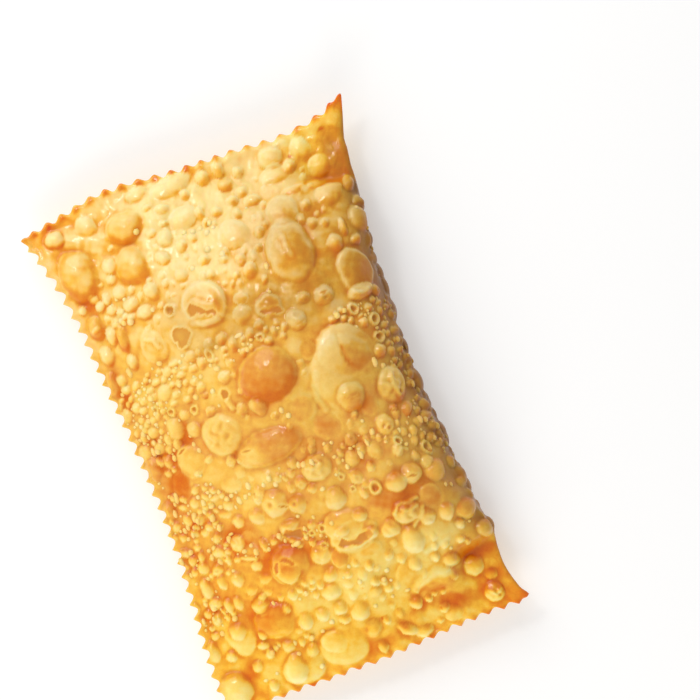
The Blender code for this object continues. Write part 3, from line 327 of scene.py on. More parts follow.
# Where soft small blisters crowd, in the same way.
SOFT_FIELDS: Rows = (
    (-4, 54, 26, 15, 110), (26, 58, 15, 13, 40), (-28, 52, 15, 14, 50), (8, -62, 34, 12, 60),
    (-6, 6, 18, 26, 40), (16, -22, 18, 14, 40),
)

# The photograph's own up, across and along, and which way the painted light makes blisters paler in its upper
# and lower half.
PHOTO_UP: Point = (0.377, 0.926)
PAINTED_LIGHT_ABOVE: Point = (-0.143, 0.976)
PAINTED_LIGHT_BELOW: Point = (-0.3, -0.95)


def clamp(value: Array) -> Array:
    """The values held between 0 and 1."""
    return np.clip(value, 0.0, 1.0)


def rise(value: Array, start: float, end: float) -> Array:
    """A smooth step from 0 at start to 1 at end."""
    t = clamp((value - start) / (end - start))
    return t * t * (3 - 2 * t)


def fall(value: Array, start: float, end: float) -> Array:
    """A smooth step from 1 at start to 0 at end."""
    return 1 - rise(value, start, end)


def bell(value: Array, middle: float, width: float) -> Array:
    """1 at the middle, falling away smoothly over about the width given."""
    return np.exp(-(((value - middle) / width) ** 2))


def hold(value: Array, level: float, room: float) -> Array:
    """The values, with those past a level drawn in so that none passes it by more than room."""
    return np.where(value > level, level + room * np.tanh((value - level) / room), value)


def lift_to(layer: Array, chosen: Array, values: Array) -> None:
    """Raises a layer's chosen places to the values wherever they lie lower."""
    layer.flat[chosen] = np.maximum(layer.flat[chosen], values)


def soften(values: Array, cells: float) -> Array:
    """The values blurred over a number of grid cells.

    Args:
        values: the values over the sheet's grid.
        cells: the blur's radius in cells.

    Returns:
        The blurred values, in the same shape.
    """
    reach = max(int(2.5 * cells), 1)
    weights = np.exp(-0.5 * (np.arange(-reach, reach + 1) / cells) ** 2)
    weights /= weights.sum()
    for axis in (0, 1):
        margin = [(0, 0), (0, 0)]
        margin[axis] = (reach, reach)
        padded, size = np.pad(values, margin, mode="edge"), values.shape[axis]
        shifted = (np.take(padded, range(n, n + size), axis=axis) for n in range(len(weights)))
        values = sum(weight * layer for weight, layer in zip(weights, shifted))
    return values


def ripples(x: Array, y: Array, length: float, chance: Chance, waves: int = 12) -> Array:
    """Uneven waves that cross each other at random, mostly between -1 and 1.

    Args:
        x: places across, in mm.
        y: places along, in mm.
        length: the usual length from crest to crest, in mm.
        chance: the random numbers.
        waves: how many waves cross.

    Returns:
        The height of the waves at each place.
    """
    total = np.zeros_like(x)
    for _ in range(waves):
        heading, phase = chance.uniform(0, TURN, 2)
        turns = TURN / (length * chance.uniform(0.7, 1.5))
        total += np.cos(turns * (x * math.cos(heading) + y * math.sin(heading)) + phase)
    return total * math.sqrt(1.2 / waves)


def moved(x: float, y: float) -> Point:
    """A surveyed place, measured from the origin."""
    return x + SURVEY_SHIFT[0], y + SURVEY_SHIFT[1]


def path(places: list[float]) -> list[Point]:
    """The points of a surveyed line x, y, x, y, and so on, measured from the origin."""
    return [moved(x, y) for x, y in zip(places[::2], places[1::2])]


def photo_up(x: Array | float, y: Array | float) -> Array:
    """How far up in the photograph a place lies, in mm from the origin."""
    return PHOTO_UP[0] * x + PHOTO_UP[1] * y


def upper_share(x: Array | float, y: Array | float) -> Array:
    """1 in the upper half of the photograph, 0 in the lower half."""
    return rise(photo_up(x, y), -30.0, 12.0)


def painted_light_direction(x: Array | float, y: Array | float) -> tuple[Array, ...]:
    """The direction across and along that the painted light at a place comes from, which blisters are painted
    paler towards.
    """
    share = upper_share(x, y)
    return tuple(above * share + below * (1 - share) for above, below in zip(PAINTED_LIGHT_ABOVE, PAINTED_LIGHT_BELOW))


def smooth_path(keys: Rows, place: Array) -> tuple[Array, Array]:
    """Points on an edge: a cubic from key to key, with its slope shared between them.

    Args:
        keys: (tooth number, x, y) rows.
        place: the tooth numbers wanted.

    Returns:
        x and y at each place.
    """
    table = np.array(keys)
    knots, points = table[:, 0], table[:, 1:]
    last = len(knots) - 1
    order = np.arange(last + 1)
    before, after = np.maximum(order - 1, 0), np.minimum(order + 1, last)
    slopes = (points[after] - points[before]) / (knots[after] - knots[before])[:, None]
    span = np.clip(np.searchsorted(knots, place, side="left") - 1, 0, last - 1)
    width = (knots[span + 1] - knots[span])[..., None]
    t = (place - knots[span])[..., None] / width
    ends = points[span] * (2 * t**3 - 3 * t**2 + 1) + points[span + 1] * (3 * t**2 - 2 * t**3)
    bend = slopes[span] * (t**3 - 2 * t**2 + t) + slopes[span + 1] * (t**3 - t**2)
    return tuple(np.moveaxis(ends + bend * width, -1, 0))


@dataclass(frozen=True)
class Sheet:
    """The two crusts without their blisters, with the solid's own sizes in millimetres."""

    teeth_across: int = 21
    teeth_along: int = 35
    seam_height: float = 9.0
    fold_height: float = 11.5
    puff_over: float = 17.5
    puff_under: float = 17.0
    seal_half: float = 1.15
    fold_half: float = 0.8
    seal_width: float = 3.0
    fold_thin_from: float = 0.9
    edge_wave: float = 0.9
    wave_along: float = 13.0
    wave_across: float = 19.0
    wave_start: float = 0.8
    horn_lift: float = 6.0
    horn_x: float = 46.0
    horn_y: float = 77.0
    horn_fade: float = 9.0
    seam_reach: float = 54.0
    fold_reach: float = 30.0
    end_reach: float = 44.0
    under_share: float = 0.85
    round_share: float = 0.6
    ear_x: float = 33.0
    ear_fade: float = 5.0
    ear_upper_y: float = 60.5
    ear_lower_y: float = -61.5
    ear_slant: float = 0.25
    ear_step: float = 1.8
    ear_flatness: float = 0.74

    def plan(self, u: Array, v: Array) -> tuple[Array, ...]:
        """Plan position on the sheet.

        Args:
            u: the share across, from the seam to the fold.
            v: the share along, from the lower end to the upper.

        Returns:
            x and y in mm.
        """
        lower, upper, seam, fold = self.edges(u, v)
        return tuple(
            lower[axis] * (1 - v) + upper[axis] * v + seam[axis] * (1 - u) + fold[axis] * u
            - SEAM_EDGE[0][axis + 1] * (1 - u) * (1 - v) - FOLD_EDGE[0][axis + 1] * u * (1 - v)
            - SEAM_EDGE[-1][axis + 1] * (1 - u) * v - FOLD_EDGE[-1][axis + 1] * u * v
            for axis in (0, 1)
        )

    def edges(self, u: Array, v: Array) -> list[tuple[Array, Array]]:
        """The lower, upper, seam and fold edges' points at each share across or along."""
        across, along = u * self.teeth_across, v * self.teeth_along
        sides = ((LOWER_EDGE, across), (UPPER_EDGE, across), (SEAM_EDGE, along), (FOLD_EDGE, along))
        return [smooth_path(keys, place) for keys, place in sides]

    def spans(self, u: Array, v: Array) -> tuple[Array, Array]:
        """The sheet's width at each share along, and its length at each share across."""
        lower, upper, seam, fold = self.edges(u, v)
        return fold[0] - seam[0], upper[1] - lower[1]

    def step(self, value: Array, middle: float, width: float) -> Array:
        """A smooth step from 0 to 1 that is width wide on either side of its middle."""
        return rise(value, middle - width, middle + width)

    def ear(self, x: Array, y: Array) -> Array:
        """How far places belong to the flat ears at the fold's ends.

        Args:
            x: plan position across.
            y: plan position along.

        Returns:
            1 on the ears, 0 on the body.
        """
        slant = self.ear_slant * (self.ear_x + self.ear_fade - x)
        upper = self.step(y - slant, self.ear_upper_y, self.ear_step)
        lower = self.step(-y - slant, -self.ear_lower_y, self.ear_step)
        return self.step(x, self.ear_x, self.ear_fade) * np.maximum(upper, lower)

    def parting(self, u: Array, x: Array, y: Array) -> Array:
        """Height of the plane where the two crusts meet.

        Args:
            u: the share across.
            x: plan position across.
            y: plan position along.

        Returns:
            Heights in mm.
        """
        wave = self.edge_wave * np.sin(y / self.wave_along + self.wave_start) * np.cos(x / self.wave_across)
        horn = self.step(y, self.horn_y, self.horn_fade) * self.step(x, self.horn_x, self.horn_fade)
        return self.seam_height + (self.fold_height - self.seam_height) * u + wave + self.horn_lift * horn

    def swell(self, distance: Array, reach: float) -> Array:
        """0 at an edge and 1 from reach on: a steep round start that flattens out."""
        t = clamp(distance / reach)
        return self.round_share * np.sin(0.5 * math.pi * t) + (1 - self.round_share) * rise(t, 0.0, 1.0)

    def puff(self, u: Array, v: Array, x: Array, y: Array, share: float) -> Array:
        """Share of the full puff at each place.

        Args:
            u: the share across.
            v: the share along.
            x: plan position across.
            y: plan position along.
            share: what the body's reaches are taken times.

        Returns:
            Shares from 0 to 1.
        """
        width, length = self.spans(u, v)
        from_seam = self.swell(u * width - self.seal_width, self.seam_reach * share)
        inward = clamp((1 - u) * width / (self.fold_reach * share))
        from_fold = np.sqrt(1 - (1 - inward) ** 2)
        from_lower = self.swell(v * length - self.seal_width, self.end_reach * share)
        from_upper = self.swell((1 - v) * length - self.seal_width, self.end_reach * share)
        return from_seam * from_fold * from_lower * from_upper * (1 - self.ear_flatness * self.ear(x, y))

    def edge_half(self, u: Array) -> Array:
        """Half the thickness of the dough at the rim: the fold is a little sharper than the seal."""
        thinner = clamp((u - self.fold_thin_from) / (1 - self.fold_thin_from))
        return self.seal_half + (self.fold_half - self.seal_half) * thinner


@dataclass(frozen=True)
class Teeth:
    """The teeth that the cutting wheel left along one side of the rim."""

    depth: float
    roundness: float
    unevenness: float
    start: float
    fade: float = 2.6
    slow: float = 1.9
    quick: float = 4.7
    quick_share: float = 0.6

    def notch(self, place: Array, inward: Array) -> Array:
        """How far the rim is drawn in.

        Args:
            place: tooth numbers along this side, whole at the tips.
            inward: distance from this side in mm.

        Returns:
            Distances in mm: nothing at a tip, the depth between two teeth, fading inwards.
        """
        wave = np.abs(np.sin(math.pi * place))
        shape = (1 - self.roundness) * wave + self.roundness * wave**2
        drift = np.cos(self.slow * place + self.start)
        drift = drift + self.quick_share * np.cos(self.quick * place + 2 * self.start)
        return self.depth * (1 + self.unevenness * drift) * shape * np.exp(-inward / self.fade)

    def tips(self, place: Array, inward: Array, reach: float) -> Array:
        """1 at the tips of the teeth, fading between them and inwards."""
        return np.cos(math.pi * place) ** 2 * np.exp(-inward / reach)


class Kind(Enum):
    """How a blister came out of the oil."""

    PALE = "pale"
    AMBER = "amber"
    SOFT = "soft"
    CRINKLED = "crinkled"
    DIMPLED = "dimpled"
    RING = "ring"
    BURST = "burst"
    FLAT = "flat"


@dataclass(frozen=True)
class Look:
    """Where blisters of one kind lie, and how they stand up and catch the light.

    tall is their height as a share of a pale one's. The side share says how much paler their one side is
    painted, a painted lit side, and even how far their skin's tone hides that painted light. Each has what
    the upper half of the photograph adds to it.
    """

    rows: Rows
    tall: float = 1.0
    lit_side_paint: float = 0.2
    lit_side_paint_above: float = 0.06
    even: float = 0.0
    even_above: float = 0.0


LOOKS: dict[Kind, Look] = {
    Kind.PALE: Look(PALE_BLISTERS, even_above=0.35),
    Kind.AMBER: Look(AMBER_BLISTERS, lit_side_paint=0.06, lit_side_paint_above=0.0, even=0.75),
    Kind.SOFT: Look(SOFT_BLISTERS, tall=0.5, even=0.4),
    Kind.CRINKLED: Look(CRINKLED_BLISTERS),
    Kind.DIMPLED: Look(DIMPLED_BLISTERS, even_above=0.35),
    Kind.RING: Look(OPEN_RINGS, lit_side_paint=0.04, lit_side_paint_above=0.0),
    Kind.BURST: Look(BURST_BLISTERS, lit_side_paint=0.1, lit_side_paint_above=0.0),
    Kind.FLAT: Look(FLAT_BLISTERS, tall=0.22, lit_side_paint=0.0, lit_side_paint_above=0.0, even=0.75),
}


@dataclass(frozen=True)
class Blister:
    """One blister, in millimetres from the origin, with its turn in radians."""

    kind: Kind
    x: float
    y: float
    half_width: float
    half_length: float
    turn: float = 0.0

    def size(self) -> float:
        """Half the blister's usual width."""
        return math.sqrt(self.half_width * self.half_length)


def survey(rows: Rows, kind: Kind) -> list[Blister]:
    """Blisters from their surveyed rows.

    Args:
        rows: their rows.
        kind: the kind that they are.

    Returns:
        The blisters, measured from the origin.
    """
    blisters = []
    for x, y, half_width, *others in rows:
        half_length, turn = (*others, *(half_width, 0.0)[len(others):])
        blisters.append(Blister(kind, *moved(x, y), half_width, half_length, math.radians(turn)))
    return blisters


@dataclass
class Crowd:
    """Places taken so far, as (x, y, size), which new ones keep clear of."""

    spacing: float
    places: list[tuple[float, float, float]]

    def take(self, x: float, y: float, size: float) -> bool:
        """Takes a place if it is clear.

        Args:
            x: plan position across.
            y: plan position along.
            size: half the usual width of what would lie there.

        Returns:
            Whether it was clear.
        """
        others = np.array(self.places)
        apart = np.hypot(others[:, 0] - x, others[:, 1] - y)
        clear = not (apart < self.spacing * (others[:, 2] + size)).any()
        if clear:
            self.places.append((x, y, size))
        return clear


@dataclass(frozen=True)
class Spot:
    """The grid's places near a point: their flat indices, and how far each lies from it across and along."""

    chosen: Array
    across: Array
    along: Array


@dataclass
class Relief:
    """The relief of one crust as it fried: heights, tones, oil and pits over the plan, with painted light and
    shade in its tones.
    """

    x: Array
    y: Array
    seed: int
    flattening: float = 0.14
    heights: Point = (0.88, 1.08)
    wobble: Point = (0.05, 0.1)
    lobes: tuple[Point, ...] = ((2, 0.5), (3, 0.35), (5, 0.2))
    crinkle: float = 2.4
    opening_share: float = 0.4
    full_slope: float = 0.8
    height: Array = field(init=False)
    # The toasted tone holds painted light and shade too: lit sides paler, and crescents, creases and valleys
    # darker.
    toast_and_shade: Array = field(init=False)
    oil: Array = field(init=False)
    pit: Array = field(init=False)
    skin: Array = field(init=False)
    # A creamy pale that is partly a painted sheen, and painted shade.
    cream_and_sheen: Array = field(init=False)
    shade: Array = field(init=False)
    even: Array = field(init=False)
    side: Array = field(init=False)
    wall: Array = field(init=False)
    shift_x: Array = field(init=False)
    shift_y: Array = field(init=False)
    chance: Chance = field(init=False)

    def __post_init__(self) -> None:
        """Starts with a flat crust."""
        self.height, self.toast_and_shade, self.oil, self.pit = (np.zeros_like(self.x) for _ in range(4))
        self.skin, self.cream_and_sheen, self.shade, self.even = (np.zeros_like(self.x) for _ in range(4))
        self.side, self.wall, self.shift_x, self.shift_y = (np.zeros_like(self.x) for _ in range(4))
        self.chance = np.random.default_rng(self.seed)

    def ripple(self, chance: Chance, *waves: Point) -> Array:
        """Uneven waves over the plan, each kind given as its height and usual length in mm."""
        return sum(tall * ripples(self.x, self.y, length, chance) for tall, length in waves)

    def near(self, x: float, y: float, reach: float) -> Spot:
        """The grid's places near a point.

        Args:
            x: the point's plan position across.
            y: the point's plan position along.
            reach: half the side of the window, in mm.

        Returns:
            The places.
        """
        chosen = np.flatnonzero((np.abs(self.x - x) < reach) & (np.abs(self.y - y) < reach))
        across = self.x.flat[chosen] + self.shift_x.flat[chosen] - x
        return Spot(chosen, across, self.y.flat[chosen] + self.shift_y.flat[chosen] - y)

    def ring(self, blister: Blister, spot: Spot) -> Array:
        """Distance from a blister's middle as a share of its own uneven outline.

        Args:
            blister: the blister.
            spot: the places near it.

        Returns:
            The share at each place: 0 in the middle, 1 on the outline.
        """
        cosine, sine = math.cos(blister.turn), math.sin(blister.turn)
        right = (spot.across * cosine + spot.along * sine) / blister.half_width
        ahead = (spot.along * cosine - spot.across * sine) / blister.half_length
        angle = np.arctan2(ahead, right)
        wobble = self.chance.uniform(*self.wobble)
        phases = self.chance.uniform(0, TURN, len(self.lobes))
        outline = sum(share * np.sin(n * angle + phase) for (n, share), phase in zip(self.lobes, phases))
        return np.hypot(right, ahead) / (1 + wobble * outline)

    def dome(self, blister: Blister, spot: Spot, ring: Array) -> Array:
        """A blister's form by its kind.

        Args:
            blister: the blister.
            spot: the places near it.
            ring: the share of its outline at those places.

        Returns:
            Shares of its height: 1 on top of a plain dome, less where the skin sank.
        """
        across, along = spot.across, spot.along
        size, phase = blister.size(), self.chance.uniform(0, TURN)
        dome = clamp(1 - np.minimum(ring, 1.0) ** 2) ** (0.9 if size < 3.0 else 0.75)
        if blister.kind is Kind.RING:
            dome = 0.75 * bell(ring, 0.76, 0.26) - 0.1 * fall(ring, 0.3, 0.6)
        elif blister.kind is Kind.DIMPLED:
            off = 0.2 * size
            dimple = np.hypot(across + off * math.cos(phase), along + off * math.sin(phase)) / size
            dome = dome - 0.42 * bell(dimple, 0.0, 0.27) + 0.08 * bell(dimple, 0.42, 0.14)
        elif blister.kind is Kind.BURST:
            dome = 0.7 * dome - 0.22 * fall(ring, 0.4, 0.95) + 0.07 * bell(ring, 0.88, 0.12)
        elif blister.kind is Kind.CRINKLED:
            grain = min(size, self.crinkle)
            lines = np.cos(5.5 * across / grain + 1.7 * np.sin(3.1 * along / grain + phase) + phase)
            cross = np.cos(4.3 * along / grain - 1.4 * np.sin(2.7 * across / grain + phase))
            sunk = fall(ring, 0.45, 0.85) * (grain / size) ** 0.5
            dome = dome - sunk * (0.16 - 0.12 * lines - 0.07 * cross)
        return dome

    def add(self, blister: Blister) -> None:
        """Raises one blister on what is there already, and colours it.

        Args:
            blister: its kind, place and size.
        """
        size = blister.size()
        reach = 1.7 * max(blister.half_width, blister.half_length) + 0.6
        spot = self.near(blister.x, blister.y, reach)
        if not len(spot.chosen):
            return
        ring = self.ring(blister, spot)
        level = self.height.flat[spot.chosen]
        around = (ring > 0.75) & (ring < 1.1)
        foot = float(level[around].mean()) if around.any() else float(level.mean())
        tall = size / (1 + self.flattening * size) * self.chance.uniform(*self.heights)
        dome = self.dome(blister, spot, ring)
        raised = foot + tall * LOOKS[blister.kind].tall * dome
        blend = 0.08 + 0.06 * size
        joined = 0.5 * (level + raised + np.sqrt((level - raised) ** 2 + blend**2)) - 0.5 * blend
        joined = np.where(dome < 0, np.minimum(joined, raised), joined)
        self.height.flat[spot.chosen] = level + (joined - level) * fall(ring, 0.95, 1.08)
        self.tint(blister, spot, ring)

    def tint(self, blister: Blister, spot: Spot, ring: Array) -> None:
        """Colours one blister: its skin and rim, one side painted paler and the other darker as painted
        light, and painted shade in the crease round it.

        Args:
            blister: the blister.
            spot: the places near it.
            ring: the share of its outline at those places.
        """
        look, upper = LOOKS[blister.kind], upper_share(blister.x, blister.y)
        chosen, towards = spot.chosen, painted_light_direction(blister.x, blister.y)
        # Painted light: the side towards the light painted paler, the far side darker, and a little painted
        # shade in the crease round the blister.
        facing = spot.across / blister.half_width * towards[0] + spot.along / blister.half_length * towards[1]
        facing = np.clip(facing, -1.0, 1.0)
        lit_side_paint = look.lit_side_paint + look.lit_side_paint_above * upper
        change = 0.03 * bell(ring, 1.06, 0.12) - lit_side_paint * (facing + 0.25) * fall(ring, 0.9, 1.04)
        self.toast_and_shade.flat[chosen] += change + self.own_tone(blister, ring, facing, upper)
        lift_to(self.even, chosen, (look.even + look.even_above * upper) * fall(ring, 0.9, 1.1))
        lift_to(self.skin, chosen, fall(ring, 0.85, 1.0))
        if blister.kind is Kind.RING:
            lift_to(self.pit, chosen, 0.25 * fall(ring, 0.3, 0.58))

    def own_tone(self, blister: Blister, ring: Array, facing: Array, upper: float) -> Array:
        """The tone of a blister's own skin by its kind.

        Args:
            blister: the blister.
            ring: the share of its outline at the places near it.
            facing: how far they lie on its painted lit side, from -1 to 1.
            upper: how far it lies in the photograph's upper half.

        Returns:
            What its toast is more than that of the crust round it.
        """
        own = self.chance.uniform(-0.05, 0.05)
        middle = fall(ring, 0.5, 0.9)
        # Painted shade: a darker crescent along the blister's side away from the light.
        shaded_crescent = bell(ring, 0.86, 0.17) * clamp(0.1 - facing)
        if blister.kind is Kind.FLAT:
            return 0.16 * fall(ring, 0.6, 1.0) - 0.08 * bell(ring, 1.05, 0.09)
        if blister.kind is Kind.AMBER:
            skin = (0.2 + 0.1 * upper + 0.6 * own) * fall(ring, 0.8, 1.0)
            return skin - 0.08 * bell(ring, 0.97, 0.07) * (1 - upper) + (0.05 + 0.26 * upper) * shaded_crescent
        if blister.kind is Kind.SOFT:
            return (0.07 + own) * middle - 0.1 * bell(ring, 0.95, 0.08)
        if blister.kind is Kind.RING:
            return 0.08 * fall(ring, 0.3, 0.55) - 0.16 * bell(ring, 0.82, 0.18)
        if blister.kind is Kind.BURST:
            return 0.08 * middle - 0.2 * bell(ring, 0.93, 0.09)
        if blister.kind is Kind.CRINKLED:
            return own * middle - 0.08 * bell(ring, 0.88, 0.12)
        upper_end = rise(blister.y, 35.0, 45.0) * fall(blister.x, -22.0, 0.0)
        creamy = 1 - rise(blister.x, -26.0, -16.0) * (1 - upper_end)
        rim = (0.06 + 0.08 * (1 - creamy)) * bell(ring, 0.93, 0.1) * (1 - 0.7 * upper)
        skin = own - 0.1 * creamy + (0.1 + 0.1 * upper) * (1 - 0.6 * creamy)
        return skin * middle - rim + 0.07 * upper * shaded_crescent

    def edge_distance(self, points: list[Point]) -> Array:
        """Distance from a line.

        Args:
            points: the line's points.

        Returns:
            Distances in mm at each place of the grid.
        """
        distance = np.full_like(self.x, np.inf)
        x, y = self.x + self.shift_x, self.y + self.shift_y
        for (x0, y0), (x1, y1) in zip(points, points[1:]):
            length = math.hypot(x1 - x0, y1 - y0)
            share = clamp(((x - x0) * (x1 - x0) + (y - y0) * (y1 - y0)) / length**2)
            distance = np.minimum(distance, np.hypot(x - x0 - share * (x1 - x0), y - y0 - share * (y1 - y0)))
        return distance

    def open(self, row: Row) -> None:
        """Tears an opening in the skin.

        Args:
            row: its row in OPENINGS.
        """
        depth, toast_and_shade, *places = row
        points = path(places)
        points.append(points[0])
        x, y = self.x + self.shift_x, self.y + self.shift_y
        within = np.zeros(self.x.shape, dtype=bool)
        for (x0, y0), (x1, y1) in zip(points, points[1:]):
            if y0 != y1:
                within ^= ((y0 > y) != (y1 > y)) & (x < (x1 - x0) * (y - y0) / (y1 - y0) + x0)
        outside = np.where(within, -1.0, 1.0) * self.edge_distance(points)
        hole = fall(outside, -0.3, 0.2)
        lip = bell(outside, 0.45, 0.4)
        self.height += 0.18 * lip - self.opening_share * depth * hole
        self.pit = np.maximum(self.pit, hole * (1 - toast_and_shade))
        # Painted shade: the floor of the opening darker close under its edge.
        self.toast_and_shade += (0.28 + toast_and_shade + 0.12 * bell(outside, -0.3, 0.45) - self.toast_and_shade) * hole - 0.14 * lip

    def fold(self, row: Row) -> None:
        """Raises a fold of skin along a line.

        Args:
            row: its row in FOLDS.
        """
        tall, half_width, toast_and_shade, *places = row
        distance = self.edge_distance(path(places))
        ridge = bell(distance, 0.0, half_width)
        self.height += tall * ridge
        # Painted shade: darker in the creases either side of the fold.
        self.toast_and_shade += 0.12 * bell(distance, 1.9 * half_width, 0.6 * half_width) + toast_and_shade * ridge

    def slopes(self) -> tuple[Array, Array]:
        """How steeply the relief rises across and along.

        Returns:
            Both slopes, in mm a mm.
        """
        (x_across, x_along), (y_across, y_along) = np.gradient(self.x), np.gradient(self.y)
        across, along = np.gradient(self.height)
        area = x_across * y_along - x_along * y_across
        return (across * y_along - along * y_across) / area, (along * x_across - across * x_along) / area

    def painted_light_sides(self) -> Array:
        """How far each place lies on its blister's painted lit side, which is painted paler.

        Returns:
            Shares from -1 to 1.
        """
        across, along = self.slopes()
        towards = painted_light_direction(self.x, self.y)
        return np.clip(-(across * towards[0] + along * towards[1]) / self.full_slope, -1.0, 1.0)

    def tone(self, row: Row, amount: Array | float = 1.0) -> None:
        """Makes a soft patch of the crust paler, darker or oilier.

        Args:
            row: its row in BROAD_TONES or SHADED_VALLEYS.
            amount: how much of it each place takes.
        """
        x, y, half_width, half_length, toast_and_shade, *oil = row
        middle = moved(x, y)
        across, along = (self.x - middle[0]) / half_width, (self.y - middle[1]) / half_length
        patch = np.exp(-0.9 * (across**2 + along**2) ** 1.3) * amount
        self.toast_and_shade += toast_and_shade * patch
        if oil:
            self.oil = np.maximum(self.oil, oil[0] * patch)


@dataclass(frozen=True)
class Foam:
    """Small blisters drawn at random, which crowd between the surveyed ones."""

    share: float = 1.5
    smallest: float = 0.85
    spread: float = 0.9
    seam_spread: float = 1.25
    seam_side: float = -22.0
    spacing: float = 0.93
    dimpled: float = 0.12
    longest: float = 1.45
    turn: float = 0.3

    def draw(self, taken: list[Blister], fields: Rows, plain: Kind, chance: Chance) -> list[Blister]:
        """Draws the small blisters of some fields.

        Args:
            taken: the blisters that are there already, which they keep clear of.
            fields: where they crowd.
            plain: the kind that most of them are.
            chance: the random numbers.

        Returns:
            The small blisters.
        """
        crowd = Crowd(self.spacing, [(blister.x, blister.y, blister.size()) for blister in taken])
        foam = []
        for x, y, half_width, half_length, count in fields:
            for _ in range(int(self.share * count)):
                away, heading = math.sqrt(chance.random()), chance.uniform(0, TURN)
                here = (x + half_width * away * math.cos(heading), y + half_length * away * math.sin(heading))
                spread = self.seam_spread if here[0] < self.seam_side else self.spread
                size = self.smallest + spread * chance.random() ** 1.5
                if half_width < FOLD_FIELD or not crowd.take(*here, size):
                    continue
                kind = Kind.DIMPLED if chance.random() < self.dimpled else plain
                length = size * chance.uniform(1.0, self.longest)
                foam.append(Blister(kind, *here, size, length, chance.uniform(-self.turn, self.turn)))
        return foam


@dataclass(frozen=True)
class FoldBlisters:
    """Blisters drawn at random on the steep side along the fold, laid out on its length and height.

    Both sheets draw the same ones, so that a blister goes on across the rim.
    """

    seed: int = 31
    count: int = 130
    lengthways: Point = (-58.0, 50.0)
    heights: Point = (0.5, 23.0)
    smallest: float = 1.3
    spread: float = 2.2
    skew: float = 1.7
    tall: float = 0.45
    depth: float = 7.0
    steep: Point = (1.2, 2.6)
    wall: Point = (1.6, 3.6)

    def raise_on(self, base: Array, relief: Relief, inward: Array) -> None:
        """Raises them on one sheet, and marks where it is too steep for blisters laid out in plan.

        Args:
            base: the sheet's points before frying.
            relief: the sheet's relief.
            inward: the distance from the fold at each place.
        """
        chance = np.random.default_rng(self.seed)
        along, up = base[..., 1], base[..., 2]
        slope = np.abs(np.gradient(up, axis=0) / np.maximum(np.gradient(base[..., 0], axis=0), 1e-4))
        steep, relief.wall = (rise(slope, *ends) * (inward < self.depth) for ends in (self.steep, self.wall))
        relief.skin *= 1 - relief.wall
        for _ in range(self.count):
            middle, height = chance.uniform(*self.lengthways), chance.uniform(*self.heights)
            size = self.smallest + self.spread * chance.random() ** self.skew
            length, phase = chance.uniform(0.9, 1.3), chance.uniform(0, TURN)
            close = (np.abs(along - middle) < 2 * size) & (np.abs(up - height) < 2 * size)
            near = np.flatnonzero(close & (steep > 0))
            ahead, above = (along.flat[near] - middle) / (size * length), (up.flat[near] - height) / size
            ring = np.hypot(ahead, above) * (1 + 0.08 * np.sin(3 * np.arctan2(above, ahead) + phase))
            dome = self.tall * size * clamp(1 - np.minimum(ring, 1.0) ** 2) ** 0.85
            lift_to(relief.side, near, dome * steep.flat[near])
            lift_to(relief.skin, near, fall(ring, 0.75, 1.05) * steep.flat[near])


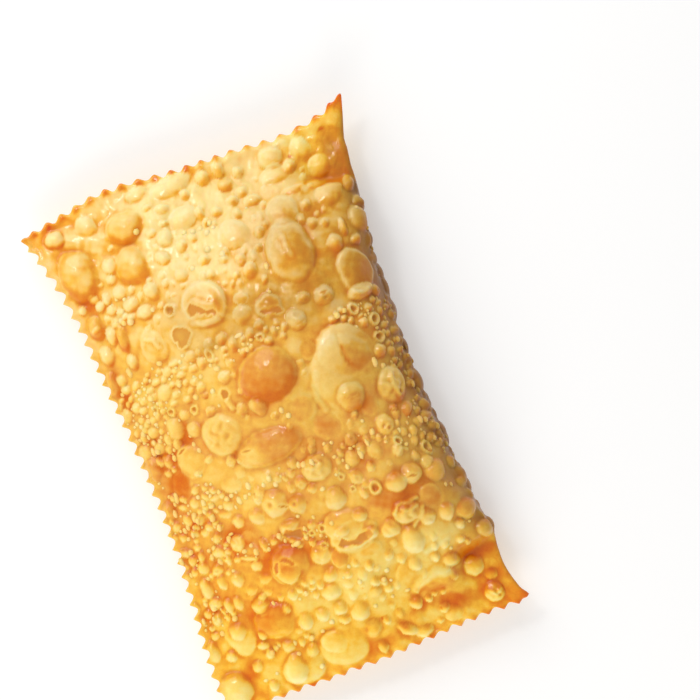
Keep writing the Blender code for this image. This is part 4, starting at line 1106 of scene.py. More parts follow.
@dataclass
class Crust:
    """The whole crust: the upper and the under sheet in one closed skin, which meet at the rim."""

    sheet: Sheet
    columns: int = 230
    rows: int = 344
    fold_columns: int = 70
    fold_part: float = 0.18
    fold_power: float = 2.0
    rim_cells: tuple[float, ...] = (0.0, 0.3, 1.0, 2.1, 3.5)
    rim_round: float = 1.3
    corner_share: float = 0.3
    corner_reach: Point = (1.5, 5.0)
    tip_pull: float = 0.9
    tip_reach: float = 1.7
    upper_teeth: Teeth = Teeth(depth=1.5, roundness=0.85, unevenness=0.12, start=0.4)
    lower_teeth: Teeth = Teeth(depth=1.5, roundness=0.5, unevenness=0.1, start=2.1)
    seam_teeth: Teeth = Teeth(depth=2.1, roundness=0.25, unevenness=0.1, start=4.0)
    relief_seeds: tuple[int, int] = (11, 23)
    over_seed: int = 5
    under_seed: int = 9
    bump_seed: int = 47
    foam_seed: int = 53
    fine_waves: int = 24
    under_blisters: int = 230
    under_corner: Point = (-44.0, -76.0)
    under_far_corner: Point = (42.0, 76.0)
    usual_toast: float = 0.36
    seal_toast: float = 0.32
    fold_toast: float = 0.58
    mottles: tuple[Point, ...] = ((0.05, 26.0), (0.04, 8.0), (0.03, 2.6))
    brown_corners: tuple[tuple[Point, float, float, float], ...] = (
        ((1, 1), 126.0, 139.0, 0.84), ((1, -1), 123.0, 133.0, 0.82), ((-1, 1), 128.0, 135.0, 0.64),
    )
    over: Relief = field(init=False)
    under: Relief = field(init=False)
    u: Array = field(init=False)
    v: Array = field(init=False)
    inward: dict[str, Array] = field(init=False)
    upper_base: Array = field(init=False)
    lower_base: Array = field(init=False)

    def __post_init__(self) -> None:
        """Lays the sheet out on its grid and makes both crusts."""
        sheet = self.sheet
        self.u, self.v = np.meshgrid(self.shares_across(), self.shares_along(), indexing="ij")
        x, y = sheet.plan(self.u, self.v)
        width, length = sheet.spans(self.u, self.v)
        self.inward = {
            "seam": self.u * width, "fold": (1 - self.u) * width,
            "lower": self.v * length, "upper": (1 - self.v) * length,
        }
        across, along = self.tooth_numbers()
        x = x + self.seam_teeth.notch(along, self.inward["seam"]) * self.whole_corners("lower", "upper")
        notches = self.lower_teeth.notch(across, self.inward["lower"])
        notches = notches - self.upper_teeth.notch(across, self.inward["upper"])
        y = y + notches * self.whole_corners("seam", "fold")
        x, y = self.blunt(x, y)
        parting = sheet.parting(self.u, x, y)
        half = sheet.edge_half(self.u) * np.sqrt(1 - (1 - clamp(self.rim() / self.rim_round)) ** 2)
        high = parting + half + sheet.puff_over * sheet.puff(self.u, self.v, x, y, 1.0)
        low = parting - half - sheet.puff_under * sheet.puff(self.u, self.v, x, y, sheet.under_share)
        self.upper_base = np.stack((x, y, high), axis=-1)
        self.lower_base = np.stack((x, y, np.maximum(low, 0.0)), axis=-1)
        self.over, self.under = (Relief(x, y, seed) for seed in self.relief_seeds)

    def tooth_numbers(self) -> tuple[Array, Array]:
        """Each place's tooth number across and along, whole at the tips."""
        return self.u * self.sheet.teeth_across, self.v * self.sheet.teeth_along

    def whole_corners(self, first: str, second: str) -> Array:
        """Share of the teeth's depth that is left near the two sides named, where the dough stayed whole."""
        nearest = np.minimum(self.inward[first], self.inward[second])
        return self.corner_share + (1 - self.corner_share) * rise(nearest, *self.corner_reach)

    def blunt(self, x: Array, y: Array) -> tuple[Array, Array]:
        """Draws the plan's four tips in a little, so that they end blunt.

        Args:
            x: plan positions across.
            y: plan positions along.

        Returns:
            The new positions across and along.
        """
        for column, row in ((0, 0), (0, -1), (-1, 0), (-1, -1)):
            tip_x, tip_y = float(x[column, row]), float(y[column, row])
            close = clamp(1 - np.hypot(x - tip_x, y - tip_y) / self.tip_reach) ** 1.5
            pull = self.tip_pull * close / math.hypot(tip_x, tip_y)
            x, y = x - tip_x * pull, y - tip_y * pull
        return x, y

    def shares_across(self) -> Array:
        """Where the columns lie.

        Returns:
            Shares across: even over the body, and closer and closer towards the fold.
        """
        even = self.columns - self.fold_columns
        shares = np.arange(self.columns + 1) / even * (1 - self.fold_part)
        shares[: len(self.rim_cells)] = np.array(self.rim_cells) / even * (1 - self.fold_part)
        left = np.arange(self.fold_columns, -1, -1) / self.fold_columns
        shares[even:] = 1 - self.fold_part * left**self.fold_power
        return shares

    def shares_along(self) -> Array:
        """Where the rows lie.

        Returns:
            Shares along: even, and closer at both ends, where the rim is round.
        """
        shares = np.arange(self.rows + 1) / self.rows
        near = np.array(self.rim_cells) / self.rows
        shares[: len(near)] = near
        shares[-len(near):] = 1 - near[::-1]
        return shares

    def rim(self) -> Array:
        """Distance from the nearest side of the rim, in mm."""
        return np.minimum.reduce(list(self.inward.values()))

    def normals(self, points: Array) -> Array:
        """Directions straight out of a sheet, upwards."""
        normal = np.cross(np.gradient(points, axis=0), np.gradient(points, axis=1))
        return normal / np.linalg.norm(normal, axis=-1, keepdims=True)

    def fry_over(self) -> None:
        """Blisters, folds, openings and tones of the upper crust."""
        relief, chance = self.over, np.random.default_rng(self.over_seed)
        relief.height += relief.ripple(chance, (0.45, 24.0), (0.2, 9.0))
        for shift in (relief.shift_x, relief.shift_y):
            shift += relief.ripple(chance, (0.16, 8.0), (0.07, 3.0))
        blisters = [blister for kind, look in LOOKS.items() for blister in survey(look.rows, kind)]
        blisters += Foam().draw(blisters, BEAD_FIELDS, Kind.PALE, chance)
        blisters += Foam().draw(blisters, SOFT_FIELDS, Kind.SOFT, np.random.default_rng(self.foam_seed))
        for blister in sorted(blisters, key=Blister.size, reverse=True):
            relief.add(blister)
        relief.height += relief.skin * 0.024 * ripples(relief.x, relief.y, 1.6, chance, self.fine_waves)
        self.swell_between(relief)
        for row in OPENINGS:
            relief.open(row)
        for row in FOLDS:
            relief.fold(row)
        FoldBlisters().raise_on(self.upper_base, relief, self.inward["fold"])
        self.colour(relief, chance)

    def swell_between(self, relief: Relief) -> None:
        """Soft bumps between the blisters at both ends.

        Args:
            relief: the upper crust's relief, whose blisters are in place.
        """
        chance = np.random.default_rng(self.bump_seed)
        bumpy = rise(relief.y, 22.0, 40.0) + 0.5 * rise(-relief.y, 30.0, 50.0)
        swollen = clamp(ripples(relief.x, relief.y, 3.4, chance, self.fine_waves))
        relief.height += 0.16 * bumpy * swollen * (1 - 0.8 * relief.skin) * fall(relief.height, 1.5, 3.5)

    def fry_under(self) -> None:
        """Blisters of the underside, drawn at random, as it isn't seen in use."""
        relief, chance = self.under, np.random.default_rng(self.under_seed)
        relief.height += relief.ripple(chance, (0.4, 20.0))
        places = chance.uniform(self.under_corner, self.under_far_corner, (self.under_blisters, 2))
        sizes = np.sort(1.1 + 5.5 * chance.random(self.under_blisters) ** 4)[::-1]
        kinds = (Kind.PALE, Kind.AMBER, Kind.SOFT, Kind.PALE, Kind.CRINKLED)
        for number, ((x, y), size) in enumerate(zip(places, sizes)):
            relief.add(Blister(kinds[number % len(kinds)], x, y, size, size * chance.uniform(0.85, 1.2)))
        FoldBlisters().raise_on(self.lower_base, relief, self.inward["fold"])
        self.colour(relief, chance, seen=False)
        resting = fall(self.lower_base[..., 2], 0.0, 3.0)
        relief.toast_and_shade += 0.12 * resting
        relief.height *= 1 - 0.85 * resting

    def colour(self, relief: Relief, chance: Chance, seen: bool = True) -> None:
        """Tones of a crust: broad patches, painted shade in creases and valleys, blister sides painted paler
        as painted light, a creamy pale partly painted as sheen, toasted teeth, ears, and painted shade down
        the fold.

        Args:
            relief: the crust's relief, whose blisters are in place.
            chance: the random numbers.
            seen: whether the surveyed patches belong to this crust.
        """
        x, y = relief.x, relief.y
        valley, broad_valley = (soften(relief.height, cells) - relief.height for cells in (2.2, 5.0))
        relief.toast_and_shade += self.usual_toast + relief.ripple(chance, *self.mottles)
        # Painted shade: creases and broad valleys darker, where less light reaches them.
        relief.toast_and_shade += (0.3 + 0.25 * rise(-y, 45.0, 62.0)) * np.clip(valley, -0.1, 0.4)
        relief.toast_and_shade += 0.12 * np.clip(broad_valley, -0.8, 0.8) - 0.07 * upper_share(x, y)
        # Painted light and shade: slopes facing the painted light paler, slopes facing away darker.
        relief.toast_and_shade -= 0.2 * relief.painted_light_sides() * (1 - relief.even)
        relief.toast_and_shade = hold(relief.toast_and_shade, 0.55, 0.2)
        if seen:
            for row in BROAD_TONES:
                relief.tone(row)
            # Painted shade: the valleys darker, the more so where they are deeper.
            for row in SHADED_VALLEYS:
                relief.tone(row, 0.62 * clamp(0.45 + broad_valley / 0.7))
        relief.toast_and_shade = hold(relief.toast_and_shade, 0.62, 0.16)
        up, palest = photo_up(x, y), 0.28
        below = (0.5 + 0.4 * rise(up, 10.0, 45.0)) * (relief.toast_and_shade - palest)
        relief.toast_and_shade = np.where(relief.toast_and_shade < palest, palest + below, relief.toast_and_shade)
        self.toast_edges(relief)
        self.toast_fold(relief)
        # A creamy pale, laid on only where no painted shade lies: partly a painted sheen of light on the oily
        # skin.
        lit, tan = 1 - relief.shade, bell(up, -8.0, 42.0)
        relief.cream_and_sheen = np.maximum(
            0.4 * rise(up, -12.0, 38.0) * fall(relief.toast_and_shade, 0.26, 0.5) * lit,
            0.13 * tan * fall(relief.toast_and_shade, 0.5, 0.75) * lit,
        ) * (1 - self.sheet.ear(x, y))
        relief.shade += 0.05 * tan * lit

    def toast_edges(self, relief: Relief) -> None:
        """The tips of the teeth fried darker, painted shade in the notches between the seam's teeth, and the
        seam's flange to an even tone.

        Args:
            relief: the crust's relief.
        """
        across, along = self.tooth_numbers()
        upper, seam = self.inward["upper"], self.inward["seam"]
        spots = bell(upper, 1.5, 0.9) * rise(20.0 - relief.x, 0.0, 30.0)
        spots += bell(upper, 0.0, 1.3) * rise(relief.x, -45.0, 20.0)
        relief.toast_and_shade += 0.34 * np.cos(math.pi * across) ** 4 * spots + 0.1 * np.exp(-upper / 1.6)
        relief.toast_and_shade += 0.36 * self.lower_teeth.tips(across, self.inward["lower"], 1.9)
        flange = bell(seam, 0.0, 2.6)
        # Painted shade: the notches between the seam's teeth a little darker.
        notches = bell(seam, 0.0, 0.9) * (1 - np.cos(math.pi * along) ** 2)
        relief.toast_and_shade += (self.seal_toast + 0.14 * notches - relief.toast_and_shade) * 0.8 * flange
        relief.oil = np.maximum(relief.oil, 0.35 * flange)

    def toast_fold(self, relief: Relief) -> None:
        """The steep side along the fold toasted browner and darkened with painted shade, the corners
        orange-red.

        Args:
            relief: the crust's relief.
        """
        x, y = relief.x, relief.y
        on_ear = self.sheet.ear(x, y)
        reach = np.maximum(6.5 - 4.5 * on_ear - 2.0 * rise(-y, 35.0, 60.0), 0.5)
        side = np.exp(-((self.inward["fold"] / reach) ** 1.25))
        relief.toast_and_shade += (self.fold_toast - relief.toast_and_shade) * np.maximum(0.7 * side, 0.92 * relief.wall)
        relief.toast_and_shade -= 0.04 * relief.skin * relief.wall
        # Painted shade: the steep side along the fold darkened brown, less on the blisters that stand out
        # from it.
        relief.shade += 0.88 * side * (1 - 0.2 * rise(-y, 20.0, 50.0)) * (1 - 0.35 * on_ear)
        relief.shade *= 1 - (0.3 - 0.2 * relief.wall) * relief.skin
        relief.oil *= 1 - side
        for outwards, start, end, toast_and_shade in self.brown_corners:
            corner = rise(outwards[0] * x + outwards[1] * y, start, end)
            relief.toast_and_shade += (toast_and_shade - relief.toast_and_shade) * 0.85 * corner
            relief.shade *= 1 - corner

    def surface(self, base: Array, relief: Relief, outward: float) -> Array:
        """The finished points of one crust.

        Args:
            base: its points before frying.
            relief: its relief.
            outward: 1 where out is up, -1 where it is down.

        Returns:
            Points in mm over the grid.
        """
        cut = np.minimum.reduce([self.inward[side] for side in ("seam", "lower", "upper")])
        plan = relief.height * (1 - relief.wall) * rise(self.inward["fold"], -0.6, 0.5)
        lift = (plan + relief.side) * rise(cut, 0.1, 1.8)
        points = base + self.normals(base) * (outward * lift)[..., None]
        points[..., 2] = np.maximum(points[..., 2], 0.0)
        return points

    def flat_skin(self) -> bmesh.types.BMesh:
        """The closed skin before its shape.

        Returns:
            A skin on a unit square: the upper sheet at height 1, and a coarser under sheet at 0.
        """
        skin = bmesh.new()
        for height, share in ((1.0, 1), (0.0, 2)):
            square = Matrix.Translation((0.5, 0.5, height))
            segments = {"x_segments": self.columns // share, "y_segments": self.rows // share}
            bmesh.ops.create_grid(skin, **segments, size=0.5, matrix=square)
        under_rim = [edge for edge in skin.edges if edge.is_boundary and edge.verts[0].co.z < 0.5]
        bmesh.ops.subdivide_edges(skin, edges=under_rim, cuts=1)
        for vert in skin.verts:
            if vert.is_boundary:
                vert.co.z = 1.0
        bmesh.ops.remove_doubles(skin, verts=[vert for vert in skin.verts if vert.is_boundary], dist=1e-4)
        bmesh.ops.recalc_face_normals(skin, faces=skin.faces[:])
        return skin

    def build(self) -> bpy.types.Object:
        """Makes the crust's mesh and marks it for its material.

        Returns:
            The piece.
        """
        mesh = to_mesh("crust", self.flat_skin())
        flat = np.empty((len(mesh.vertices), 3))
        mesh.vertices.foreach_get("co", flat.ravel())
        place = tuple(np.rint(flat[:, :2] * (self.columns, self.rows)).astype(int).T)
        is_upper = flat[:, 2] > 0.5
        upper = self.surface(self.upper_base, self.over, 1.0)
        lower = self.surface(self.lower_base, self.under, -1.0)
        points = np.where(is_upper[:, None], upper[place], lower[place]) * MM
        mesh.vertices.foreach_set("co", points.ravel())
        pairs = zip(marks(self.over), marks(self.under))
        return new_piece(mesh, [np.where(is_upper, above[place], below[place]) for above, below in pairs])


def marks(relief: Relief) -> tuple[Array, ...]:
    """What a crust's material reads of its relief: toasted tone with painted light and shade in it, oil,
    pits, creamy pale with painted sheen in it, and painted shade.
    """
    return relief.toast_and_shade, relief.oil, relief.pit, relief.cream_and_sheen, relief.shade


def to_mesh(name: str, body: bmesh.types.BMesh) -> bpy.types.Mesh:
    """Turns a bmesh into a mesh and frees it.

    Args:
        name: the mesh's name.
        body: the bmesh.

    Returns:
        The mesh.
    """
    mesh = bpy.data.meshes.new(name)
    body.to_mesh(mesh)
    body.free()
    return mesh


def new_piece(mesh: bpy.types.Mesh, layers: list[Array] | None = None) -> bpy.types.Object:
    """Puts a mesh into the scene as an object of the same name.

    Args:
        mesh: the mesh.
        layers: toasted tone with painted light and shade in it, oil, pit, creamy pale with painted sheen in
            it, and painted shade, one value a vertex each, where it is fried dough.

    Returns:
        The object.
    """
    if layers:
        fried_and_painted_light, shade = np.stack(layers[:4], axis=-1), layers[4]
        for name, kind, key, values in (
            ("fried_and_painted_light", "FLOAT_COLOR", "color", fried_and_painted_light), ("shade", "FLOAT", "value", shade),
        ):
            attribute = mesh.attributes.new(name, kind, "POINT")
            attribute.data.foreach_set(key, clamp(values).astype(np.float32).ravel())
        mesh.polygons.foreach_set("use_smooth", np.ones(len(mesh.polygons), dtype=bool))
        mesh.update()
    piece = bpy.data.objects.new(mesh.name, mesh)
    bpy.context.scene.collection.objects.link(piece)
    return piece


@dataclass
class Beads:
    """Fine beads of dough, half sunk into the upper crust."""

    crust: Crust
    segments: int = 8
    rings: int = 5
    patterns: int = 3
    unevenness: float = 0.07
    flatness: float = 0.85
    sunk: float = 0.35
    crowding: float = 0.8
    field_share: float = 0.15
    smallest: float = 0.4
    largest: float = 0.8
    fold_extra: float = 0.15
    edge_margin: float = 2.0
    fold_strip: Point = (0.02, 3.5)
    seed: int = 41
    places: list[Place] = field(init=False, default_factory=list)

    def __post_init__(self) -> None:
        """Finds a place for every bead and raises a low foot under it."""
        chance = np.random.default_rng(self.seed)
        self.take_seen(chance)
        self.take_fields(chance)
        relief = self.crust.over
        for spot, half_width, half_length, _ in self.places:
            size = math.sqrt(half_width * half_length)
            foot = relief.near(relief.x.flat[spot], relief.y.flat[spot], 2.2 * size)
            away = np.hypot(foot.across, foot.along) / size
            relief.height.flat[foot.chosen] += 0.3 * size * bell(away, 0.0, 1.1)
            # Painted shade: a darker ring round each bead's foot.
            relief.toast_and_shade.flat[foot.chosen] += 0.05 * bell(away, 1.0, 0.4)

    def take_seen(self, chance: Chance) -> None:
        """The surveyed beads, each at the nearest point of the grid.

        Args:
            chance: the random numbers.
        """
        relief = self.crust.over
        for bead in survey(SEEN_BEADS, Kind.PALE):
            spot = int(((relief.x - bead.x) ** 2 + (relief.y - bead.y) ** 2).argmin())
            self.places.append((spot, bead.half_width, bead.half_length, chance.uniform(-0.15, 0.15)))

    def take_fields(self, chance: Chance) -> None:
        """Beads drawn at random in the crowded fields, in the valleys between blisters.

        Args:
            chance: the random numbers.
        """
        relief, inward = self.crust.over, self.crust.inward
        low = soften(relief.height, 4.0) - relief.height > -0.25
        clear = np.minimum.reduce([inward[side] for side in ("lower", "upper", "seam")]) > self.edge_margin
        side = (inward["fold"] < self.fold_strip[1]) & (inward["fold"] > self.fold_strip[0])
        spots = np.flatnonzero(clear & (side | (low & (relief.skin < 0.5) & (relief.pit < 0.1))))
        taken = [(relief.x.flat[spot], relief.y.flat[spot], max(a, b)) for spot, a, b, _ in self.places]
        crowd = Crowd(self.crowding, taken)
        for x, y, half_width, half_length, count in BEAD_FIELDS:
            across = (relief.x.flat[spots] - x) / half_width
            along = (relief.y.flat[spots] - y) / half_length
            weight = np.exp(-((across**2 + along**2) ** 1.5))
            weight /= weight.sum()
            for spot in chance.choice(spots, int(self.field_share * count), replace=False, p=weight):
                size = self.smallest + (self.largest - self.smallest) * chance.random() ** 1.7
                size += self.fold_extra if half_width < FOLD_FIELD else 0.0
                if crowd.take(relief.x.flat[spot], relief.y.flat[spot], size):
                    self.places.append((int(spot), size, size * chance.uniform(0.85, 1.3), 0.0))

    def pattern(self, chance: Chance) -> bpy.types.Mesh:
        """One uneven ball of radius 1, which beads are shaped from.

        Args:
            chance: the random numbers.

        Returns:
            Its mesh.
        """
        ball = bmesh.new()
        bmesh.ops.create_uvsphere(ball, u_segments=self.segments, v_segments=self.rings, radius=1.0)
        for vert in ball.verts:
            vert.co *= 1 + self.unevenness * chance.uniform(-1, 1)
        return to_mesh("bead pattern", ball)

    def placing(self, place: Place, point: Array, normal: Vector, spin: float) -> Matrix:
        """How a ball of radius 1 becomes a bead on the crust.

        Args:
            place: its spot, half width, half length and turn in radians.
            point: the crust's point there, in mm.
            normal: the direction straight out of the crust.
            spin: how far the ball is turned before it is flattened, in radians.

        Returns:
            The ball's transform.
        """
        _, half_width, half_length, turn = place
        size = min(half_width, half_length)
        sideways = Vector((0.0, 1.0, 0.0)).cross(normal).normalized()
        basis = Matrix((sideways, normal.cross(sideways), normal)).transposed().to_4x4()
        form = Matrix.Diagonal((half_width, half_length, self.flatness * size, 1.0))
        form = Matrix.Rotation(turn, 4, "Z") @ form @ Matrix.Rotation(spin, 4, "Z")
        centre = Matrix.Translation(Vector(point) - normal * self.sunk * size)
        return Matrix.Scale(MM, 4) @ centre @ basis @ form

    def build(self) -> bpy.types.Object:
        """Makes all beads in one mesh and marks them for their material.

        Returns:
            The piece.
        """
        chance = np.random.default_rng(self.seed + 1)
        points = self.crust.surface(self.crust.upper_base, self.crust.over, 1.0).reshape(-1, 3)
        normals = self.crust.normals(self.crust.upper_base).reshape(-1, 3)
        patterns = [self.pattern(chance) for _ in range(self.patterns)]
        body, tones = bmesh.new(), []
        for number, place in enumerate(self.places):
            ball = patterns[number % len(patterns)].copy()
            normal, spin = Vector(normals[place[0]]), chance.uniform(0, TURN)
            ball.transform(self.placing(place, points[place[0]], normal, spin))
            body.from_mesh(ball)
            bpy.data.meshes.remove(ball)
            tones.append(chance.uniform(-0.1, 0.06))
        return new_piece(to_mesh("beads", body), self.tints(patterns, np.array(tones)))

    def tints(self, patterns: list[bpy.types.Mesh], tones: Array) -> list[Array]:
        """The five marks of each bead's points: painted paler on top as painted light, and darker at the foot
        as painted shade.

        Args:
            patterns: the balls that beads are shaped from.
            tones: each bead's own tone.

        Returns:
            Toasted tone with painted light in it, oil, pit, creamy pale with painted sheen in it, and painted
            shade, one value a vertex each.
        """
        heights = np.array([[vert.co.z for vert in pattern.vertices] for pattern in patterns])
        tops = heights[np.arange(len(self.places)) % len(patterns)]
        spots, relief = np.array([place[0] for place in self.places]), self.crust.over
        shade, oil = relief.shade.flat[spots], relief.oil.flat[spots]
        toast_and_shade = np.minimum(soften(relief.toast_and_shade, 3.0).flat[spots] + tones, 0.44 + 0.1 * shade)
        # Creamy pale on beads out of the painted shade: a painted sheen.
        cream_and_sheen = np.minimum(relief.cream_and_sheen.flat[spots] + 0.22 * (1 - shade), 0.5)
        own = (toast_and_shade - 0.07, 0.2 * oil, 0.0 * shade, cream_and_sheen, 0.95 * shade)
        # Painted light: each bead paler and less shaded towards its top.
        painted_light_to_top = (-0.13, 0.0, 0.0, 0.0, -0.12)
        return [(value[:, None] + change * tops).ravel() for value, change in zip(own, painted_light_to_top)]


def paint(*levels: float) -> Colour:
    """A colour given as red, green and blue from 0 to 255 as a screen shows them.

    Args:
        levels: the three levels.

    Returns:
        The colour as Blender's sockets take it.
    """
    shares = [level / 255 for level in levels]
    return *(s / 12.92 if s <= 0.04045 else ((s + 0.055) / 1.055) ** 2.4 for s in shares), 1.0


def new_group(
    name: str, inputs: Iterable[str], outputs: Iterable[tuple[str, str]]
) -> tuple[bpy.types.NodeTree, bpy.types.Node, bpy.types.Node]:
    """An empty shader node group with its sockets.

    Args:
        name: the group's name.
        inputs: names of its number inputs.
        outputs: (name, socket type) of its outputs.

    Returns:
        The group, its input node and its output node.
    """
    group = bpy.data.node_groups.new(name, "ShaderNodeTree")
    for socket in inputs:
        group.interface.new_socket(socket, in_out="INPUT", socket_type="NodeSocketFloat")
    for socket, kind in outputs:
        group.interface.new_socket(socket, in_out="OUTPUT", socket_type=kind)
    return group, group.nodes.new("NodeGroupInput"), group.nodes.new("NodeGroupOutput")


@dataclass(frozen=True)
class Grain:
    """A noise pattern: how many of its bumps fit in a metre, its detail and its roughness."""

    per_metre: float
    detail: float
    roughness: float = 0.5


@dataclass(frozen=True)
class Wiring:
    """Short ways to add nodes to a tree and join them."""

    tree: bpy.types.NodeTree

    def put(self, socket: bpy.types.NodeSocket, value: object) -> None:
        """Links a socket to another, or sets its value.

        Args:
            socket: an input.
            value: the output to link it to, or its value.
        """
        if isinstance(value, bpy.types.NodeSocket):
            self.tree.links.new(value, socket)
        else:
            socket.default_value = value

    def put_all(self, node: bpy.types.Node, values: dict[str, object]) -> None:
        """Links or sets several inputs of a node, given by their names."""
        for name, value in values.items():
            self.put(node.inputs[name], value)

    def maths(self, operation: str, *values: object) -> bpy.types.NodeSocket:
        """A Math node.

        Args:
            operation: what it works out.
            values: numbers or sockets, as many as the operation takes.

        Returns:
            Its result.
        """
        node = self.tree.nodes.new("ShaderNodeMath")
        node.operation = operation
        for socket, value in zip(node.inputs, (*values, 0.0, 0.0, 0.0)):
            self.put(socket, value)
        return node.outputs[0]

    def noise(self, grain: Grain) -> bpy.types.NodeSocket:
        """A Noise Texture on the piece's own coordinates.

        Args:
            grain: the pattern.

        Returns:
            Its value.
        """
        place = self.tree.nodes.get("place") or self.tree.nodes.new("ShaderNodeTexCoord")
        place.name = "place"
        node = self.tree.nodes.new("ShaderNodeTexNoise")
        values = {"Scale": grain.per_metre, "Detail": grain.detail, "Roughness": grain.roughness}
        self.put_all(node, {"Vector": place.outputs["Object"], **values})
        return node.outputs["Fac"]

    def mix(self, share: object, first: object, second: object) -> bpy.types.NodeSocket:
        """Two colours mixed.

        Args:
            share: how much of the second there is.
            first: a colour or socket.
            second: a colour or socket.

        Returns:
            The mixed colour.
        """
        node = self.tree.nodes.new("ShaderNodeMix")
        node.data_type = "RGBA"
        for socket, value in ((0, share), (6, first), (7, second)):
            self.put(node.inputs[socket], value)
        return node.outputs[2]

    def attribute(self, name: str) -> bpy.types.Node:
        """A node that reads one of the mesh's attributes."""
        node = self.tree.nodes.new("ShaderNodeAttribute")
        node.attribute_name = name
        return node

    def group(self, group: bpy.types.NodeTree, values: dict[str, object]) -> bpy.types.Node:
        """A node that holds a group, with its inputs linked or set.

        Args:
            group: the group.
            values: what its inputs take, by their names.

        Returns:
            The node.
        """
        node = self.tree.nodes.new("ShaderNodeGroup")
        node.node_tree = group
        self.put_all(node, values)
        return node


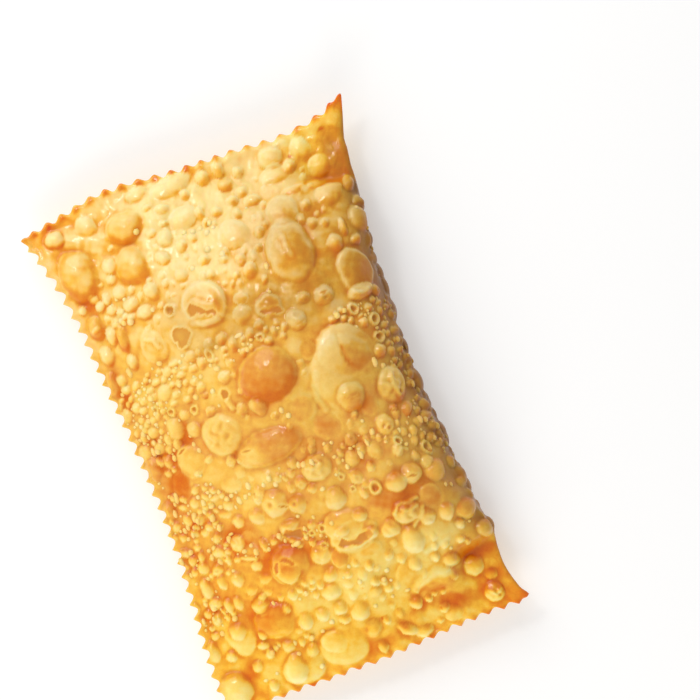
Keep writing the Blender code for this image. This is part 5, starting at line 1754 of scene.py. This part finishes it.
@dataclass(frozen=True)
class CrustFinish:
    """Fried dough: its tones from pale to burnt, oil that shows through, a creamy pale for painted sheen, a
    brown for painted shade, and a satin film of oil.
    """

    tones: tuple[tuple[float, Colour], ...] = (
        (0.0, paint(255, 233, 156)), (0.2, paint(255, 217, 108)), (0.38, paint(250, 193, 54)),
        (0.54, paint(236, 157, 28)), (0.7, paint(228, 126, 10)), (0.86, paint(216, 86, 12)),
        (1.0, paint(150, 52, 10)),
    )
    oiled: Colour = paint(182, 130, 36)
    pit: Colour = paint(222, 166, 74)
    # A creamy pale laid on as painted sheen, and a brown laid on as painted shade.
    cream_and_sheen: Colour = paint(255, 226, 176)
    shaded: Colour = paint(104, 62, 14)
    mottle: Grain = Grain(420.0, 4.0, 0.6)
    speckle: Grain = Grain(1700.0, 3.0, 0.6)
    bumps: Grain = Grain(700.0, 2.0)
    pimples: Grain = Grain(2600.0, 3.0, 0.65)
    mottle_depth: float = 0.2
    speckle_depth: float = 0.14
    oil_cover: float = 0.75
    pit_cover: float = 0.65
    smoothest: float = 0.25
    unevenness: float = 0.22
    dullness: float = 0.3
    pimple_share: float = 0.35
    grain_height: float = 0.00035
    grain_strength: float = 0.3
    inner_light: float = 0.5
    inner_reach: tuple[float, float, float] = (1.0, 0.65, 0.3)
    oil_roughness: float = 0.11
    refraction: float = 1.45
    dry_shine: float = 0.12

    def tone_group(self) -> bpy.types.NodeTree:
        """The colour and roughness of dough from how it fried, with mottles and specks of its own, and a
        painted sheen and painted shade mixed over its colour.

        Returns:
            The node group.
        """
        outputs = (("Colour", "NodeSocketColor"), ("Roughness", "NodeSocketFloat"))
        group, given, result = new_group("fried dough", ("ToastAndShade", "Oil", "Pit", "CreamAndSheen", "Shade"), outputs)
        wiring = Wiring(group)
        mottle, speckle = wiring.noise(self.mottle), wiring.noise(self.speckle)
        toast_and_shade = given.outputs["ToastAndShade"]
        for pattern, depth in ((mottle, self.mottle_depth), (speckle, self.speckle_depth)):
            toast_and_shade = wiring.maths("MULTIPLY_ADD", wiring.maths("SUBTRACT", pattern, 0.5), depth, toast_and_shade)
        ramp = group.nodes.new("ShaderNodeValToRGB")
        steps = ramp.color_ramp.elements
        while len(steps) < len(self.tones):
            steps.new(0.5)
        for step, (position, colour) in zip(steps, self.tones):
            step.position, step.color = position, colour
        wiring.put(ramp.inputs["Fac"], toast_and_shade)
        oily = wiring.maths("MULTIPLY", given.outputs["Oil"], wiring.maths("MULTIPLY_ADD", mottle, 0.8, 0.3))
        # Painted sheen: creamy pale mixed in by its mark.
        colour = wiring.mix(given.outputs["CreamAndSheen"], ramp.outputs["Color"], self.cream_and_sheen)
        colour = wiring.mix(wiring.maths("MULTIPLY", oily, self.oil_cover), colour, self.oiled)
        colour = wiring.mix(wiring.maths("MULTIPLY", given.outputs["Pit"], self.pit_cover), colour, self.pit)
        satin = wiring.maths("MULTIPLY_ADD", speckle, self.unevenness, self.smoothest)
        dull = wiring.maths("MULTIPLY", given.outputs["Pit"], self.dullness)
        dull = wiring.maths("MULTIPLY_ADD", given.outputs["Shade"], self.dullness, dull)
        # Painted shade: brown mixed in by its mark.
        wiring.put(result.inputs["Colour"], wiring.mix(given.outputs["Shade"], colour, self.shaded))
        wiring.put(result.inputs["Roughness"], wiring.maths("ADD", dull, satin))
        return group

    def grain_group(self) -> bpy.types.NodeTree:
        """The fine roughness of fried dough: pimples and a skin that isn't quite smooth.

        Returns:
            The node group.
        """
        group, given, result = new_group("dough grain", ("Pit",), (("Height", "NodeSocketFloat"),))
        wiring = Wiring(group)
        bumps = wiring.maths("MULTIPLY", wiring.noise(self.bumps), 1 - self.pimple_share)
        height = wiring.maths("MULTIPLY_ADD", wiring.noise(self.pimples), self.pimple_share, bumps)
        wiring.put(result.inputs["Height"], wiring.maths("MULTIPLY_ADD", given.outputs["Pit"], -0.3, height))
        return group

    def material(
        self, name: str, tone: bpy.types.NodeTree, grain: bpy.types.NodeTree, shine: float, glow: float
    ) -> bpy.types.Material:
        """A material of fried dough.

        Args:
            name: the material's name.
            tone: the group for colour and roughness.
            grain: the group for the surface's height.
            shine: how much clear oil lies on it, from 0 to 1.
            glow: how far light travels inside it, in metres.

        Returns:
            The material.
        """
        material = bpy.data.materials.new(name)
        material.use_nodes = True
        wiring = Wiring(material.node_tree)
        nodes = material.node_tree.nodes
        fried_and_painted_light, parts = wiring.attribute("fried_and_painted_light"), nodes.new("ShaderNodeSeparateColor")
        wiring.put(parts.inputs[0], fried_and_painted_light.outputs["Color"])
        toast_and_shade, oil, pit = parts.outputs
        shade = wiring.attribute("shade").outputs["Fac"]
        given = {"ToastAndShade": toast_and_shade, "Oil": oil, "Pit": pit, "CreamAndSheen": fried_and_painted_light.outputs["Alpha"], "Shade": shade}
        dough, skin = wiring.group(tone, given), wiring.group(grain, {"Pit": pit})
        bump = nodes.new("ShaderNodeBump")
        relief = {"Strength": self.grain_strength, "Distance": self.grain_height}
        wiring.put_all(bump, {**relief, "Height": skin.outputs["Height"]})
        wiring.put_all(nodes["Principled BSDF"], {
            "Base Color": dough.outputs["Colour"], "Roughness": dough.outputs["Roughness"],
            "Normal": bump.outputs["Normal"], "IOR": self.refraction, "Specular IOR Level": self.dry_shine,
            "Subsurface Weight": self.inner_light, "Subsurface Radius": self.inner_reach,
            "Subsurface Scale": glow, "Coat Weight": shine, "Coat Roughness": self.oil_roughness,
        })
        return material


@dataclass(frozen=True)
class Lamp:
    """One square soft light: its direction in the photograph, power in watts and side in metres."""

    name: str
    right: float
    up: float
    lift: float
    power: float
    side: float
    colour: tuple[float, float, float] = (1.0, 1.0, 1.0)
    mirrored: bool = True


@dataclass(frozen=True)
class Studio:
    """A pale floor, soft lights and a camera straight above, turned as the photograph was taken."""

    aim: tuple[float, float, float] = (27.45, 9.05, 12.0)
    turn: float = -22.17
    view_width: float = 217.0
    lens: float = 200.0
    sensor: float = 36.0
    lamps: tuple[Lamp, ...] = (
        Lamp("window", -0.55, 0.8, 38.0, 2.9, 0.6, (1.0, 0.985, 0.96)),
        Lamp("glint", -0.7, 0.8, 56.0, 0.6, 0.12),
        Lamp("low fill", -0.15, -1.0, 30.0, 3.1, 0.5, (1.0, 0.975, 0.94), mirrored=False),
    )
    lamp_distance: float = 0.8
    even_light: float = 0.5
    white: Colour = (1.0, 1.0, 1.0, 1.0)
    floor_half: float = 1.5
    floor_colour: Colour = (0.72, 0.72, 0.72, 1.0)
    floor_glow: float = 0.3
    floor_roughness: float = 0.9
    floor_shine: float = 0.1

    def camera(self) -> None:
        """The camera, as far away as makes the view as wide as the photograph's."""
        data = bpy.data.cameras.new("camera")
        data.lens, data.sensor_width = self.lens, self.sensor
        distance = self.view_width * self.lens / self.sensor
        camera = bpy.data.objects.new("camera", data)
        camera.location = (Vector(self.aim) + Vector((0.0, 0.0, distance))) * MM
        camera.rotation_euler = (0.0, 0.0, math.radians(self.turn))
        bpy.context.scene.collection.objects.link(camera)
        bpy.context.scene.camera = camera

    def light(self, lamp: Lamp) -> None:
        """Hangs one light so that it points at the pastry.

        Args:
            lamp: the light.
        """
        level = Vector((lamp.right, lamp.up, 0.0)).normalized()
        level.rotate(Matrix.Rotation(math.radians(self.turn), 3, "Z"))
        lift = math.radians(lamp.lift)
        direction = level * math.cos(lift) + Vector((0.0, 0.0, math.sin(lift)))
        data = bpy.data.lights.new(lamp.name, "AREA")
        data.shape, data.size, data.energy, data.color = "SQUARE", lamp.side, lamp.power, lamp.colour
        light = bpy.data.objects.new(lamp.name, data)
        light.location = direction * self.lamp_distance
        light.rotation_euler = direction.to_track_quat("Z", "Y").to_euler()
        light.visible_glossy = lamp.mirrored
        bpy.context.scene.collection.objects.link(light)

    def floor(self) -> bpy.types.Object:
        """A plain pale floor that glows a little.

        Returns:
            Its object.
        """
        ground = bmesh.new()
        bmesh.ops.create_grid(ground, x_segments=1, y_segments=1, size=self.floor_half)
        mesh = to_mesh("floor", ground)
        material = bpy.data.materials.new("pale floor")
        material.use_nodes = True
        Wiring(material.node_tree).put_all(material.node_tree.nodes["Principled BSDF"], {
            "Base Color": self.floor_colour, "Roughness": self.floor_roughness,
            "Emission Color": self.white, "Emission Strength": self.floor_glow,
            "Specular IOR Level": self.floor_shine,
        })
        mesh.materials.append(material)
        return new_piece(mesh)

    def world(self) -> None:
        """Even white light from all round."""
        world = bpy.data.worlds.new("studio")
        world.use_nodes = True
        background = world.node_tree.nodes["Background"]
        Wiring(world.node_tree).put_all(background, {"Color": self.white, "Strength": self.even_light})
        bpy.context.scene.world = world

    def build(self) -> bpy.types.Object:
        """Sets up camera, lights and floor.

        Returns:
            The floor.
        """
        self.camera()
        self.world()
        for lamp in self.lamps:
            self.light(lamp)
        bpy.context.scene.view_settings.view_transform = "Standard"
        return self.floor()


def report(piece: bpy.types.Object) -> None:
    """Says how large a finished piece is."""
    triangles = sum(len(face.vertices) - 2 for face in piece.data.polygons)
    LOG.info("%s: %d triangles", piece.name, triangles)


def main() -> None:
    """Builds the crust, its beads and the studio, and puts them on the frame."""
    logging.basicConfig(level=logging.INFO, format="%(name)s: %(message)s")
    finish = CrustFinish()
    tone, grain = finish.tone_group(), finish.grain_group()
    crust = Crust(Sheet())
    crust.fry_over()
    crust.fry_under()
    beads = Beads(crust)
    pieces = {
        crust.build(): finish.material("blistered crust", tone, grain, shine=0.6, glow=0.0014),
        beads.build(): finish.material("beads of dough", tone, grain, shine=0.42, glow=0.0005),
    }
    for piece, material in pieces.items():
        piece.data.materials.append(material)
        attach(piece, "root")
        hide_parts(NODE)
        report(piece)
    Studio().build()


if __name__ == "__main__":
    main()
